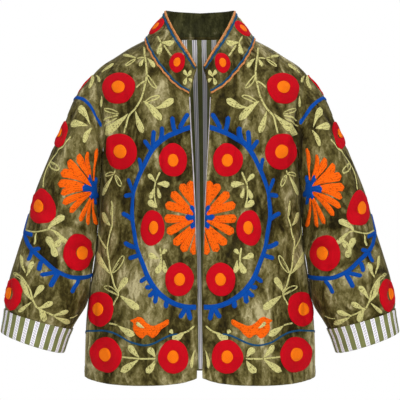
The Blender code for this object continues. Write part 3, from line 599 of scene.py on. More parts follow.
# The parts of all the materials: groups, values that can be added and multiplied, noise and ramps.
# Every material is worked out from places and lengths on the cloth, with no pictures.
def make_group(name, sockets_in, sockets_out):
    """An empty shader node group with named float inputs, given as name and value, and typed outputs."""
    group = bpy.data.node_groups.new(name, "ShaderNodeTree")
    for socket, value in sockets_in:
        made = group.interface.new_socket(name=socket, in_out="INPUT", socket_type="NodeSocketFloat")
        made.default_value = value
    for socket in sockets_out:
        group.interface.new_socket(name=socket, in_out="OUTPUT", socket_type="NodeSocketFloat")
    return group, group.nodes.new("NodeGroupInput"), group.nodes.new("NodeGroupOutput")


class Value:
    """A shader value of a node tree. Its sums, differences, products and quotients are Math nodes."""

    def __init__(self, tree, socket):
        self.tree = tree
        self.socket = socket

    def __add__(self, other):
        return calculate("ADD", self, other)

    def __sub__(self, other):
        return calculate("SUBTRACT", self, other)

    def __rsub__(self, other):
        return calculate("SUBTRACT", other, self)

    def __mul__(self, other):
        return calculate("MULTIPLY", self, other)

    def __truediv__(self, other):
        return calculate("DIVIDE", self, other)


def fill(tree, node, inputs):
    """Sets a node's inputs to numbers and colours, or links them to values and sockets."""
    for name, given in inputs.items():
        given = given.socket if isinstance(given, Value) else given
        if isinstance(given, bpy.types.NodeSocket):
            tree.links.new(given, node.inputs[name])
        else:
            node.inputs[name].default_value = given
    return node


def calculate(operation, *values):
    """A Math node on numbers and shader values, and its result."""
    tree = next(value.tree for value in values if isinstance(value, Value))
    node = tree.nodes.new("ShaderNodeMath")
    node.operation = operation
    fill(tree, node, dict(enumerate(values)))
    return Value(tree, node.outputs[0])


def noise(tree, vector, scale, detail, distortion=0.0, roughness=0.5):
    """Soft noise from 0 to 1, of as many sizes as detail says."""
    node = fill(tree, tree.nodes.new("ShaderNodeTexNoise"), {
        "Vector": vector, "Scale": scale, "Detail": detail, "Distortion": distortion, "Roughness": roughness,
    })
    return Value(tree, node.outputs["Fac"])


def between(value, low, high):
    """A value mapped so that low gives 0 and high gives 1, with a soft start and end."""
    node = value.tree.nodes.new("ShaderNodeMapRange")
    node.interpolation_type = "SMOOTHSTEP"
    fill(value.tree, node, {"Value": value, "From Min": low, "From Max": high})
    return Value(value.tree, node.outputs["Result"])


def object_place(tree, stretch):
    """Object coordinates, stretched by three factors."""
    place = tree.nodes.new("ShaderNodeTexCoord").outputs["Object"]
    mapping = fill(tree, tree.nodes.new("ShaderNodeMapping"), {"Scale": stretch, "Vector": place})
    return mapping.outputs["Vector"]


def uv_lengths(tree):
    """The two lengths that the UV map holds."""
    uv = tree.nodes.new("ShaderNodeUVMap").outputs["UV"]
    split = fill(tree, tree.nodes.new("ShaderNodeSeparateXYZ"), {"Vector": uv})
    return Value(tree, split.outputs["X"]), Value(tree, split.outputs["Y"])


def ramp(value, stops):
    """A colour ramp through stops of position and colour."""
    node = value.tree.nodes.new("ShaderNodeValToRGB")
    points = node.color_ramp.elements
    while len(points) < len(stops):
        points.new(0.5)
    for point, (position, colour) in zip(points, stops):
        point.position = position
        point.color = (*colour, 1)
    return fill(value.tree, node, {"Fac": value}).outputs["Color"]


def bumped(height, strength, distance):
    """Normals over a height given in shares of the distance."""
    node = height.tree.nodes.new("ShaderNodeBump")
    fill(height.tree, node, {"Height": height, "Strength": strength, "Distance": distance})
    return node.outputs["Normal"]


def new_material(name, roughness):
    """A material of even roughness, its node tree and its shader."""
    material = bpy.data.materials.new(name)
    material.use_nodes = True
    shader = material.node_tree.nodes["Principled BSDF"]
    fill(material.node_tree, shader, {"Roughness": roughness})
    return material, material.node_tree, shader


def crushed_pile():
    """Shade and height of crushed velvet, whose pile lies over in soft patches and streaks.

    Shade is a sum of noises of four sizes, drawn out downwards, and of painted fold shade, which colours the
    ridges of the folds lighter and their troughs darker.
    """
    group, _, put = make_group("crushed_pile", (), ("Shade", "Height"))
    long_place = object_place(group, (1.0, 1.0, 0.42))
    broad = noise(group, long_place, 13, 2, 0.8)
    streak = noise(group, long_place, 40, 2, 1.2, 0.45)
    fine = noise(group, object_place(group, (1.0, 1.0, 0.7)), 190, 2, 0.8)
    nap = noise(group, long_place, 1500, 1)
    # Painted fold shade: lighter on the ridges of folds, darker in their troughs.
    node = group.nodes.new("ShaderNodeAttribute")
    node.attribute_name = "painted_fold_shade"
    painted_fold_shade = Value(group, node.outputs["Fac"])
    shade = (broad - 0.5) * 0.85 + (streak - 0.5) * 1.70 + (fine - 0.5) * 0.75 + (nap - 0.5) * 0.30
    height = streak + fine * 0.45 + nap * 0.04
    fill(group, put, {"Shade": shade + painted_fold_shade * 0.28 + 0.495, "Height": height})
    return group


PILE = crushed_pile()


def velvet(name, stops):
    """Velvet whose shades run through the stops, with a faint sheen of its pile."""
    material, tree, shader = new_material(name, 0.58)
    pile = tree.nodes.new("ShaderNodeGroup")
    pile.node_tree = PILE
    fill(tree, shader, {
        "Base Color": ramp(Value(tree, pile.outputs["Shade"]), stops),
        "Normal": bumped(Value(tree, pile.outputs["Height"]), 0.85, 0.007),
        "Sheen Weight": 0.12,
        "Sheen Roughness": 0.32,
        "Sheen Tint": (0.80, 0.70, 0.42, 1),
        "Specular IOR Level": 0.06,
    })
    return material


OLIVE = (
    (0.00, (0.012, 0.0085, 0.0012)),
    (0.28, (0.040, 0.031, 0.0060)),
    (0.52, (0.100, 0.083, 0.0235)),
    (0.76, (0.200, 0.170, 0.0700)),
    (1.00, (0.400, 0.350, 0.1850)),
)
OLIVE_VELVET = velvet("olive_crushed_velvet", OLIVE)
# Darker, flatter stops for the collar's inner face: painted shade for the shadow inside the stand collar,
# which is the same velvet as outside.
SHADED = (
    (0.00, (0.010, 0.0095, 0.0030)),
    (0.50, (0.034, 0.034, 0.0110)),
    (0.80, (0.070, 0.068, 0.0240)),
    (1.00, (0.180, 0.165, 0.0900)),
)
SHADED_VELVET = velvet("olive_velvet_painted_shade", SHADED)


# The striped cotton that lines the jacket and shows inside its neck, between the fronts and on the
# turned-back cuffs. White bands with fine grey lines are woven into an olive ground.
STRIPE_PITCH = 0.0190
OLIVE_GROUND = (0.150, 0.160, 0.046)
WHITE_BAND = (0.93, 0.91, 0.95)
GREY_LINE = (0.105, 0.080, 0.140)
TWILL_PITCH, WEAVE_PITCH = 0.0040, 0.0009


def striped(name, pitch, white_share, twill):
    """Stripes across the UV map's first length: white bands on olive, with thin grey lines in the white.

    twill is the share of slanting lines, as against two straight ones that run along the band.
    """
    material, tree, shader = new_material(name, 0.85)
    across, along = uv_lengths(tree)
    offset = calculate("FRACT", across / pitch) - 0.5
    off_centre = calculate("ABSOLUTE", offset)
    half = white_share / 2
    band = 1.0 - between(off_centre, half - 0.016, half + 0.016)
    rails = 1.0 - between(calculate("ABSOLUTE", off_centre - half * 0.45), 0.010, 0.042)
    slant = calculate("FRACT", along / TWILL_PITCH + offset * -5.0)
    slant = 1.0 - between(calculate("ABSOLUTE", slant - 0.5), 0.13, 0.30)
    slanted = slant * calculate("LESS_THAN", off_centre, half * 0.74) * twill
    lines = calculate("MAXIMUM", slanted, rails * (1 - twill))
    shades = tuple((at, tuple(share * c for c in OLIVE_GROUND)) for at, share in ((0.3, 0.82), (0.7, 1.16)))
    mix = tree.nodes.new("ShaderNodeMix")
    mix.data_type = "RGBA"
    sockets = {socket.identifier: socket for socket in mix.inputs}
    tree.links.new(band.socket, sockets["Factor_Float"])
    tree.links.new(ramp(noise(tree, object_place(tree, (1, 1, 1)), 60, 3), shades), sockets["A_Color"])
    tree.links.new(ramp(lines, ((0.0, WHITE_BAND), (1.0, GREY_LINE))), sockets["B_Color"])
    mixed = next(socket for socket in mix.outputs if socket.identifier == "Result_Color")
    weave_a, weave_b = (calculate("SINE", way * (2 * math.pi / WEAVE_PITCH)) for way in (across, along))
    fill(tree, shader, {"Base Color": mixed, "Normal": bumped(weave_a * weave_b, 0.25, 0.0004)})
    return material


LINING_STRIPES = striped("striped_cotton_lining", STRIPE_PITCH, 0.47, 0.0)


# The fronts and the back: velvet panels that meet at the shoulders and sides. The fronts show their
# striped lining on the inside, and the back has a lining of its own that hangs inside it.
def velvet_panel(name, outline, step, cloth, inner_face, tuck, allowance):
    """A panel of velvet cut to a flat outline, with another material on its inner face."""
    points, triangles = flat_sheet(outline, step)
    moves = seam_allowance(points, outline, allowance)
    faces = [OLIVE_VELVET, inner_face]
    return cloth_wall(name, points, triangles, cloth, VELVET_THICK, faces, tuck, outline=outline, moves=moves)


for side, word in SIDES:
    outline = joined(half_outline(FRONT_EDGE, FRONT_NECK, FRONT_ARMHOLE, FRONT_HEM, CLOTH_STEP))[::-1]
    if side < 0:
        outline = (outline * (-1, 1))[::-1]
    allowance = body_allowance(outline)
    front = velvet_panel(
        f"front_{word}_velvet", outline, CLOTH_STEP, FRONTS[side], LINING_STRIPES, EDGE_TUCK, allowance
    )
    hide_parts(f"front_{word}")
    declare_cut(outline)

back_outline = whole_back_outline(CLOTH_STEP)
allowance = body_allowance(back_outline)
back = velvet_panel("back_velvet", back_outline, CLOTH_STEP, BACK, OLIVE_VELVET, EDGE_TUCK, allowance)
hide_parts("back")
declare_cut(back_outline)

LINING_THICK, LINING_INSET, LINING_CLEAR, LINING_HANG = 0.0011, 0.0022, 0.0018, 0.0065
LINING_LEAN, LINING_SHIFT, LINING_GATHER, LINING_STEP = 0.0203, 0.0012, 0.27, 0.012


def lining_surface(outline):
    """The back's plain surface moved in: close to the velvet at the seams, and hanging free between them."""

    def placed(s, v):
        flat = stacked(np.ravel(s), np.ravel(v))
        clear = smooth_step(distance_to(flat, outline) / 0.035) * inside(flat, outline)
        drift = 0.0009 * np.sin(s * 43 + 1.1) * np.sin(v * 17 + 0.4)
        deep = VELVET_THICK + LINING_CLEAR + (LINING_HANG + drift) * clear.reshape(np.shape(s))
        base = body_surface(s, v, 1)
        return base - normals(lambda a, b: body_surface(a, b, 1), s, v, -1) * deep[..., None]

    return placed


outline = whole_back_outline(LINING_STEP)
along = np.roll(outline, -1, axis=0) - np.roll(outline, 1, axis=0)
inward = stacked(-along[:, 1], along[:, 0])
lining_outline = outline + LINING_INSET * unit(inward)
points, triangles = flat_sheet(lining_outline, LINING_STEP)
lining = cloth_wall(
    "back_lining_cloth",
    points,
    triangles,
    Cloth(lining_surface(lining_outline), -1, lambda s, v: 0 * s),
    LINING_THICK,
    [LINING_STRIPES, LINING_STRIPES],
)
stripes = lining.data.uv_layers["UVMap"].data
leaning = np.zeros(2 * len(stripes), np.float32)
stripes.foreach_get("uv", leaning)
leaning = leaning.reshape(-1, 2)
gathered = 1 + LINING_GATHER * smooth_step(-leaning[:, 1] / 0.30)
leaning[:, 0] = leaning[:, 0] * gathered + LINING_LEAN * leaning[:, 1] + LINING_SHIFT
stripes.foreach_set("uv", leaning.ravel())
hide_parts("back_lining")
declare_cut(lining_outline)


# The sleeves: velvet tubes closed along the underarm and sewn round the armhole, which sits below
# the shoulder. They bend forward a little at the elbow, with pleats where the arm would push them up.
Ring = namedtuple("Ring", "down out_x out_z in_x in_z mid_y half_depth")
RINGS = table(
    Ring,
    (0.0, 0.195, -0.067, 0.1865, -0.292, -0.002, 0.064),
    (0.0329, 0.2275, -0.107, 0.1872, -0.302, -0.003, 0.074),
    (0.0683, 0.2522, -0.1623, 0.1872, -0.313, -0.006, 0.079),
    (0.1068, 0.279, -0.2212, 0.1866, -0.3269, -0.01, 0.08),
    (0.1458, 0.301, -0.2781, 0.187, -0.3447, -0.017, 0.078),
    (0.1968, 0.3165, -0.3376, 0.1892, -0.3842, -0.028, 0.076),
    (0.2485, 0.3322, -0.3907, 0.1952, -0.4302, -0.039, 0.075),
    (0.302, 0.346, -0.4407, 0.205, -0.482, -0.047, 0.073),
    (0.338, 0.3515, -0.4769, 0.2235, -0.5123, -0.051, 0.066),
    (0.3545, 0.3518, -0.4916, 0.2325, -0.5279, -0.052, 0.061),
    (0.3953, 0.358, -0.5293, 0.2461, -0.5666, -0.054, 0.058),
    (0.418, 0.3619, -0.5513, 0.2524, -0.5886, -0.055, 0.058),
)
SLEEVE_ROUND, SLEEVE_LONG, ARMHOLE_EASE = 0.440, 0.490, 0.110
SLEEVE_FOLDS = table(
    Fold,
    (15, 13, 165, 10, 6, -5.0), (425, 13, 275, 10, 6, -5.0), (60, 250, 170, 215, 17, 5.0),
    (50, 300, 150, 290, 17, -4.5), (70, 345, 180, 320, 17, 4.0), (390, 250, 290, 225, 18, 5.0),
    (390, 310, 280, 300, 18, -4.5), (150, 370, 160, 440, 14, 4.0), (230, 375, 235, 440, 14, 3.5),
    (310, 370, 305, 440, 14, 4.0), (120, 80, 150, 190, 20, -4.0), (330, 80, 310, 190, 20, -4.0),
    (92, 30, 122, 130, 7, -3.3), (140, 25, 160, 110, 7, 3.0), (176, 30, 186, 150, 8, -3.0),
    (35, 190, 120, 215, 8, -3.6), (30, 230, 95, 228, 7, 2.8), (110, 275, 190, 262, 7, -3.3),
    (40, 335, 110, 318, 7, 3.0), (130, 330, 200, 345, 8, -3.0), (66, 380, 100, 430, 6, -3.3),
    (112, 375, 122, 435, 5, 3.0), (184, 360, 188, 435, 6, -3.3), (262, 370, 264, 436, 6, -3.0),
    (345, 365, 338, 434, 6, -3.3), (388, 375, 380, 435, 6, 3.0), (350, 30, 322, 140, 7, -3.3),
    (300, 25, 284, 120, 7, 3.0), (255, 40, 250, 160, 8, -2.7), (405, 190, 330, 205, 8, -3.6),
    (400, 345, 330, 330, 7, 3.0), (320, 275, 250, 266, 7, -3.0),
)


Spot = namedtuple("Spot", "u v half_width half_height")
SLEEVE_DISCS = table(
    Spot,
    (0.249, 0.018, 0.029, 0.029), (0.198, 0.091, 0.033, 0.024), (0.161, 0.1985, 0.04, 0.0302),
    (0.062, 0.259, 0.0345, 0.033), (0.178, 0.396, 0.033, 0.03),
)
SLEEVE_HEART_SHIFTS = (0.0, 0.0060, 0.0040, -0.0040, 0.0100)
SLEEVE_SPOTS = [Spot(s.u, s.v, 0.8 * s.half_width, s.half_height) for s in SLEEVE_DISCS]
SLEEVE_SPOTS += [spot._replace(u=SLEEVE_ROUND - spot.u) for spot in SLEEVE_SPOTS[1:]]


def armhole_edge(armhole, side, cloth):
    """Where the sleeve meets one panel's edge, from the underarm to the shoulder."""
    line = even_points(arm_line(armhole), 0.002)[::-1] * (side, 1)
    place = cloth.surface(*line.T)
    away = unit(np.cross(normals(cloth.surface, *line.T, cloth.turn), np.gradient(place, axis=0)))
    away *= np.sign(away[:, :1]) * side
    return place + SEAM_GAP * (away + np.array([side, 0, 0]))


def whole_armhole(side):
    """The armhole all round from the underarm by way of the front, and shares of the way round."""
    front = armhole_edge(FRONT_ARMHOLE, side, FRONTS[side])
    rear = armhole_edge(BACK_ARMHOLE, side, BACK)
    share = np.concatenate([np.linspace(0, 0.5, len(front)), np.linspace(0.5, 1, len(rear))[1:]])
    return share, np.concatenate([front, rear[::-1][1:]]) * (side, 1, 1)


ARMHOLES = {side: whole_armhole(side) for side in (1, -1)}
SLEEVE_CLEAR, ELBOW_CLEAR, ELBOW_Z = 0.0024, 0.0020, -0.375
SLEEVE_DRAW, UNDERARM_LAP = 0.0040, 0.60
UNDERARM_TO, UNDERARM_FADE, UNDERARM_SETTLE = 0.120, 0.050, 0.030
ELBOW_FADE, DRAW_FADE, ARMHOLE_FLAT = 0.040, 0.010, 0.007
ARMHOLE_ALLOWANCE = 1.7 * SEWN_ALLOWANCE
SLEEVE_PACE = SLEEVE_LONG / RINGS[-2].down
CUFF_HEIGHT = 0.0440
CUFF_TOP = SLEEVE_LONG - CUFF_HEIGHT * SLEEVE_PACE


def sleeve_ellipse(lean, swing, out_x, out_z, in_x, in_z, mid_y, half_depth):
    """Points of an ellipse between its outermost and innermost points, each given by x and z."""
    return stacked(in_x + (out_x - in_x) * lean, mid_y - half_depth * swing, in_z + (out_z - in_z) * lean)


def sleeve_surface(u, v, side):
    """An ellipse at each length down the sleeve, carried over near the top to meet the armhole."""
    turn = (u / SLEEVE_ROUND) % 1
    down = v / SLEEVE_LONG * RINGS[-2].down
    sizes = [smooth_curve(column(RINGS, "down"), column(RINGS, name), down) for name in Ring._fields[1:]]
    lean = (1 - np.cos(2 * math.pi * turn)) / 2
    swing = np.sin(2 * math.pi * turn)
    tube = sleeve_ellipse(lean, swing, *sizes)
    ring = sleeve_ellipse(lean, swing, *RINGS[0][1:])
    ease = 1 - smooth_step(down / ARMHOLE_EASE)[..., None]
    return (tube + (points_at(turn, *ARMHOLES[side]) - ring) * ease) * (side, 1, 1)


def folded_sleeve(side):
    """A sleeve with its folds and puckers, hanging beside the body."""

    def relief(u, v):
        u = u % SLEEVE_ROUND
        plain = fold_relief(SLEEVE_FOLDS, u, v) + pucker_relief(SLEEVE_SPOTS, u, v)
        return plain * smooth_step(v / ARMHOLE_FLAT)

    hanging = folded(lambda u, v: sleeve_surface(u, v, side), -side, relief)

    def beside_body(u, v):
        """The hanging sleeve, pushed clear of the body's side or, where it nearly touches, drawn to it."""
        place = hanging(u, v)
        x, y, z = np.moveaxis(place, -1, 0)
        deep = np.clip(np.abs(y) / np.where(y < 0, body_depth(z, -1), body_depth(z, 1)), 0, 1)
        low = smooth_step((ELBOW_Z - z) / ELBOW_FADE)
        clear = SLEEVE_CLEAR + ELBOW_CLEAR * low
        body_edge = half_width(z) * (1 - deep**BODY_POWER) ** (1 / BODY_POWER) + clear
        beyond = np.abs(x) - body_edge
        drawn = np.clip(beyond, 0, SLEEVE_DRAW) * (1 - smooth_step((beyond - SLEEVE_DRAW) / DRAW_FADE))
        shift = np.maximum(-beyond, 0) - drawn * (1 - low)
        shift = shift * smooth_step((UNDERARM_Z - z) / UNDERARM_SETTLE)
        return place + shift[..., None] * (side, 0, 0)

    return Cloth(beside_body, -side, relief)


SLEEVES = {side: folded_sleeve(side) for side in (1, -1)}

for side, word in SIDES:
    runs = rectangle_runs(SLEEVE_ROUND, SLEEVE_LONG, CLOTH_STEP)
    outline = joined(runs)
    points, triangles = flat_sheet(outline, CLOTH_STEP)
    weld = np.arange(len(points))
    start = len(runs[0]) - 1
    weld[start : start + len(runs[1])] = np.append(0, len(outline) - 1 - np.arange(len(runs[1]) - 1))
    ends = np.array([(-1, 0), (SLEEVE_ROUND + 1, 0), (SLEEVE_ROUND + 1, SLEEVE_LONG), (-1, SLEEVE_LONG)])
    from_underarm = np.minimum(points[:, 0], SLEEVE_ROUND - points[:, 0])
    at_armhole = outline[:, 1:] < CUFF_TOP
    sleeve = cloth_wall(
        f"sleeve_{word}_velvet",
        points,
        triangles,
        SLEEVES[side],
        VELVET_THICK,
        [OLIVE_VELVET, LINING_STRIPES],
        EDGE_TUCK,
        weld,
        ends,
        seam_allowance(points, outline, np.where(at_armhole, (0, ARMHOLE_ALLOWANCE), (0, SEAM_ALLOWANCE))),
        UNDERARM_LAP * (1 - smooth_step((from_underarm - UNDERARM_TO) / UNDERARM_FADE))[:, None],
    )
    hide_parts(f"sleeve_{word}")
    declare_cut(outline)


# The cuffs: the end of each sleeve is turned back once, so its striped lining shows as a band about
# 45 mm deep that stands a little off the velvet, with the raw edge folded under at the top.
CUFF_CLOTH, CUFF_STAND, CUFF_INSIDE = 0.0016, 0.0003, 0.0300
CUFF_SEGMENTS = 120
CUFF_STRIPES = striped("striped_cotton_cuff", SLEEVE_ROUND / 22, 0.43, 0.95)
CUFF_STRIPE_SHIFT = 0.0050


def cuff_rings(side):
    """Rings of the cuff's section, from its top edge down the outside, round the fold and up inside."""
    gap = SEAM_GAP * 1.6
    inner = -VELVET_THICK - gap
    middle = (CUFF_TOP + SLEEVE_LONG) / 2
    inner_top = SLEEVE_LONG - CUFF_INSIDE * SLEEVE_PACE
    fold = (gap + inner) / 2
    stand = gap + CUFF_STAND
    section = np.array(
        [
            (stand, CUFF_TOP + 0.0012),
            (stand + CUFF_CLOTH * 0.15, CUFF_TOP),
            (stand + CUFF_CLOTH * 0.6, CUFF_TOP),
            (stand + CUFF_CLOTH * 0.85, CUFF_TOP + 0.0016),
            (stand + CUFF_CLOTH, CUFF_TOP + 0.0060),
            (stand + CUFF_CLOTH * 0.95, CUFF_TOP + 0.0180),
            (gap + CUFF_STAND * 0.8 + CUFF_CLOTH, middle),
            (gap + CUFF_CLOTH * 1.1, SLEEVE_LONG - 0.0080),
            (gap + CUFF_CLOTH, SLEEVE_LONG),
            (gap + CUFF_CLOTH * 0.3, SLEEVE_LONG + 0.0022),
            (fold, SLEEVE_LONG + 0.0031),
            (inner - CUFF_CLOTH * 0.3, SLEEVE_LONG + 0.0022),
            (inner - CUFF_CLOTH, SLEEVE_LONG),
            (inner - CUFF_CLOTH, inner_top),
            (inner, inner_top),
            (inner, SLEEVE_LONG),
            (inner, SLEEVE_LONG + gap * 1.3),
            (gap, SLEEVE_LONG + gap * 1.3),
            (gap, SLEEVE_LONG),
            (gap + CUFF_STAND * 0.8, middle),
        ]
    )
    u = np.arange(CUFF_SEGMENTS) * SLEEVE_ROUND / CUFF_SEGMENTS
    offset, v = section[:, :1], section[:, 1:]
    sway = 0.5 + 0.5 * np.sin(u * 2 * math.pi / SLEEVE_ROUND * 5 + side + 1.7 * np.sin(u * 31))
    raised = np.clip((SLEEVE_LONG - v) / 0.05, 0, 1) * (offset > stand * 0.99)
    offset = offset + 0.0006 * raised * sway
    u, v = np.broadcast_arrays(u[None], v)
    cloth = SLEEVES[side]
    place = cloth.surface(u, v) + offset[..., None] * normals(cloth.surface, u, v, cloth.turn)
    return section, place


def closed_grid_quads(rows, columns):
    """Quads over a grid whose rows and columns both close on themselves."""
    r, c = np.meshgrid(np.arange(rows), np.arange(columns), indexing="ij")
    r1, c1 = (r + 1) % rows, (c + 1) % columns
    quads = stacked(r * columns + c, r * columns + c1, r1 * columns + c1, r1 * columns + c)
    return quads.reshape(-1, 4), r, c


for side, word in SIDES:
    section, place = cuff_rings(side)
    quads, r, c = closed_grid_quads(len(section), CUFF_SEGMENTS)
    down = lengths_along(section)
    down = np.append(down, down[-1] + 0.02)
    pitch = SLEEVE_ROUND / CUFF_SEGMENTS
    across = stacked(c, c + 1, c + 1, c) * pitch + CUFF_STRIPE_SHIFT
    corner_uv = stacked(across, stacked(down[r], down[r], down[r + 1], down[r + 1])).reshape(-1, 4, 2)
    if side > 0:
        quads, corner_uv = quads[:, ::-1], corner_uv[:, ::-1]
    cuff = add_piece(f"cuff_{word}_cloth", place.reshape(-1, 3), quads, corner_uv, [CUFF_STRIPES], sharp=60)
    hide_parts(f"cuff_{word}")


# The stand collar: a band of the same velvet, inside too, sewn round the neck. It leans in towards
# the neck, and its two ends meet the front edges without overlapping.
Rim = namedtuple("Rim", "along x y z")
COLLAR_TOP = table(
    Rim,
    (0.0, 0.0072, -0.112, -0.0591), (0.17, 0.0242, -0.096, -0.0293), (0.34, 0.0422, -0.071, -0.0002),
    (0.5, 0.0579, -0.037, 0.0307), (0.61, 0.0646, -0.006, 0.0485), (0.72, 0.064, 0.028, 0.056),
    (0.85, 0.048, 0.061, 0.0575), (1.0, 0.0, 0.08, 0.0566),
)
COLLAR_LONG, COLLAR_HIGH, COLLAR_BULGE, NECK_FRONT_SHARE = 0.265, 0.050, 0.0025, 0.60
COLLAR_STEP, COLLAR_TUCK = 0.0036, 0.0005


def neck_edge(side):
    """The neck seam from one front to the middle of the back, as shares of its length and points."""
    lines = []
    for rows, cloth in ((FRONT_NECK, FRONTS[side]), (BACK_NECK[::-1], BACK)):
        line = even_points(cloth_line(rows), 0.002) * (side, 1)
        lines.append(cloth.surface(line[:, 0], line[:, 1]))
    share = [np.linspace(0, NECK_FRONT_SHARE, len(lines[0]))]
    share += [np.linspace(NECK_FRONT_SHARE, 1, len(lines[1]))[1:]]
    return np.concatenate(share), np.concatenate([lines[0], lines[1][1:]]) * (side, 1, 1)


NECK_EDGES = {side: neck_edge(side) for side in (1, -1)}


def collar_surface(u, v):
    """Straight lines up from the neck seam to the rim, with a slight bulge halfway."""
    share = u / COLLAR_LONG
    side = np.where(share <= 1, 1.0, -1.0)
    share = np.where(share <= 1, share, 2 - share)
    foot = np.where(side[..., None] > 0, points_at(share, *NECK_EDGES[1]), points_at(share, *NECK_EDGES[-1]))
    knots = column(COLLAR_TOP, "along")
    head = np.stack([smooth_curve(knots, column(COLLAR_TOP, n), share) for n in "xyz"], axis=-1)
    up = (v / COLLAR_HIGH)[..., None]
    rise = head - foot
    bulge = unit(foot * (1, 1, 0)) * COLLAR_BULGE * np.sin(math.pi * np.clip(up, 0, 1))
    seam = SEAM_GAP * 1.5 * unit(rise)
    return (foot + seam + rise * up + bulge) * stacked(side, side**2, side**2)


COLLAR = Cloth(collar_surface, 1, lambda u, v: 0.0010 * np.sin(u * 61 + 3 * v / COLLAR_HIGH))
outline = joined(rectangle_runs(2 * COLLAR_LONG, COLLAR_HIGH, COLLAR_STEP))
# The inner face takes the darker velvet, as painted shade inside the collar.
collar = velvet_panel(
    "collar_velvet", outline, COLLAR_STEP, COLLAR, SHADED_VELVET, COLLAR_TUCK, (0, SEWN_ALLOWANCE)
)
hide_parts("collar")


# The threads: soft twisted cotton worked in close rows of chain stitch, so that each shape is
# filled by ridges of small links. Every colour is the same yarn, dyed.
def chain_stitch():
    """Height and shade of rows of chain stitch along the UV map's first length.

    Across a row the height is a rounded ridge with a dip in the middle. Along it the links are V-shaped.
    Shade follows the height, with some random unevenness, so that it paints shade between the rows and links
    and a highlight on their tops.
    """
    group, given, put = make_group("chain_stitch", (("Row", 0.0024), ("Link", 0.0036)), ("Height", "Shade"))
    row_width, link_length = Value(group, given.outputs["Row"]), Value(group, given.outputs["Link"])
    along, across = uv_lengths(group)
    place = object_place(group, (1, 1, 1))
    across = (across + (noise(group, place, 260, 1) - 0.5) * 0.0016) / row_width
    off_centre = calculate("ABSOLUTE", calculate("FRACT", across) - 0.5) * 2.0
    ridge_shape = 1.0 - calculate("POWER", off_centre, 2.4)
    dip = 1.0 - (1.0 - between(off_centre, 0.0, 0.34)) * 0.32
    shifted = along / link_length + off_centre * 0.55 + calculate("FLOOR", across) * 0.37
    link = calculate("SINE", calculate("FRACT", shifted) * math.pi)
    height = ridge_shape * dip * (link * 0.5 + 0.5)
    uneven = (noise(group, place, 90, 3) - 0.5) * 0.5
    fill(group, put, {"Height": height, "Shade": height * 0.55 + 0.38 + uneven})
    return group


STITCHES = chain_stitch()
HOLE_TINT = (0.20, 0.17, 0.08)


def thread(name, colour, painted_shade=0.45, row=0.0026, link=0.0040, light=1.10, holes=0.0):
    """Yarn of one colour, with painted shade between the rows and links and a painted highlight on their
    tops. holes is how much cloth shows through.
    """
    material, tree, shader = new_material(name, 0.78)
    stitches = tree.nodes.new("ShaderNodeGroup")
    stitches.node_tree = STITCHES
    fill(tree, stitches, {"Row": row, "Link": link})
    # The stops paint shade where the stitches are low and a highlight on their tops.
    stops = (
        (0.15, tuple(painted_shade * c for c in colour)),
        (0.60, colour),
        (1.00, tuple(min(light * c, 1) for c in colour)),
    )
    yarn = ramp(Value(tree, stitches.outputs["Shade"]), stops)
    if holes:
        spots = between(noise(tree, object_place(tree, (1, 1, 1)), 310, 2, 0.0, 0.6), 0.54, 0.66)
        cloth = ramp(spots * holes, ((0.0, (1, 1, 1)), (1.0, HOLE_TINT)))
        mix = tree.nodes.new("ShaderNodeVectorMath")
        mix.operation = "MULTIPLY"
        yarn = fill(tree, mix, {0: yarn, 1: cloth}).outputs[0]
    normal = bumped(Value(tree, stitches.outputs["Height"]), 0.9, 0.0012)
    fill(tree, shader, {"Base Color": yarn, "Normal": normal, "Specular IOR Level": 0.10})
    return material


RED = thread("red_yarn", (0.560, 0.0008, 0.0085), painted_shade=0.66, light=1.04)
DISC_ORANGE = thread("light_orange_yarn", (1.000, 0.190, 0.0030), painted_shade=0.68)
PETAL_ORANGE = thread("orange_yarn", (0.900, 0.122, 0.0015), painted_shade=0.42, row=0.0030, link=0.0044, holes=0.55)
BLUE = thread("blue_yarn", (0.0006, 0.0630, 0.3450), painted_shade=0.50)
LEAF_GREEN = thread("pale_green_yarn", (0.590, 0.550, 0.215), painted_shade=0.36, row=0.0032, link=0.0042, holes=0.80)
SEA_BLUE = thread("sea_blue_yarn", (0.0060, 0.0680, 0.1650), painted_shade=0.45, link=0.0034)
TRIM_ORANGE = thread("trim_orange_yarn", (0.620, 0.240, 0.0800), painted_shade=0.30, link=0.0050, holes=0.5)

Patch = namedtuple("Patch", "flat rise quads uv")
SUNK = 0.0007


def grid_quads(rows, columns):
    """Quads over an open grid."""
    r, c = np.meshgrid(np.arange(rows - 1), np.arange(columns - 1), indexing="ij")
    first = (r * columns + c).ravel()
    return stacked(first, first + 1, first + columns + 1, first + columns)


def strip(path, half_widths, height, cross=5):
    """A padded strip of stitching along a flat path. Its section is a flat-topped arch with sunk feet."""
    path = np.asarray(path, float)
    half_widths = np.broadcast_to(half_widths, len(path))
    tangent = unit(np.gradient(path, axis=0))
    aside = stacked(tangent[:, 1], -tangent[:, 0])
    c = np.sin(np.linspace(-1, 1, cross) * math.pi / 2)
    flat = path[:, None] + aside[:, None] * (half_widths[:, None] * c)[..., None]
    arch = 1 - np.abs(c) ** 4
    full = np.minimum(1, half_widths / 0.0012)
    rise = (height + SUNK) * arch * full[:, None] - SUNK
    along = lengths_along(path)
    uv = np.stack(np.broadcast_arrays(along[:, None], half_widths[:, None] * c), axis=-1)
    quads = grid_quads(len(path), cross)
    return Patch(flat.reshape(-1, 2), rise.ravel(), quads, uv.reshape(-1, 2)[quads])


def round_ended(path, half):
    """Half widths of a strip of even width with round ends."""
    along = lengths_along(path)
    to_end = np.minimum(along, along[-1] - along)
    return half * np.sqrt(np.clip(1 - (1 - np.clip(to_end / half, 0, 1)) ** 2, 0.02, 1))


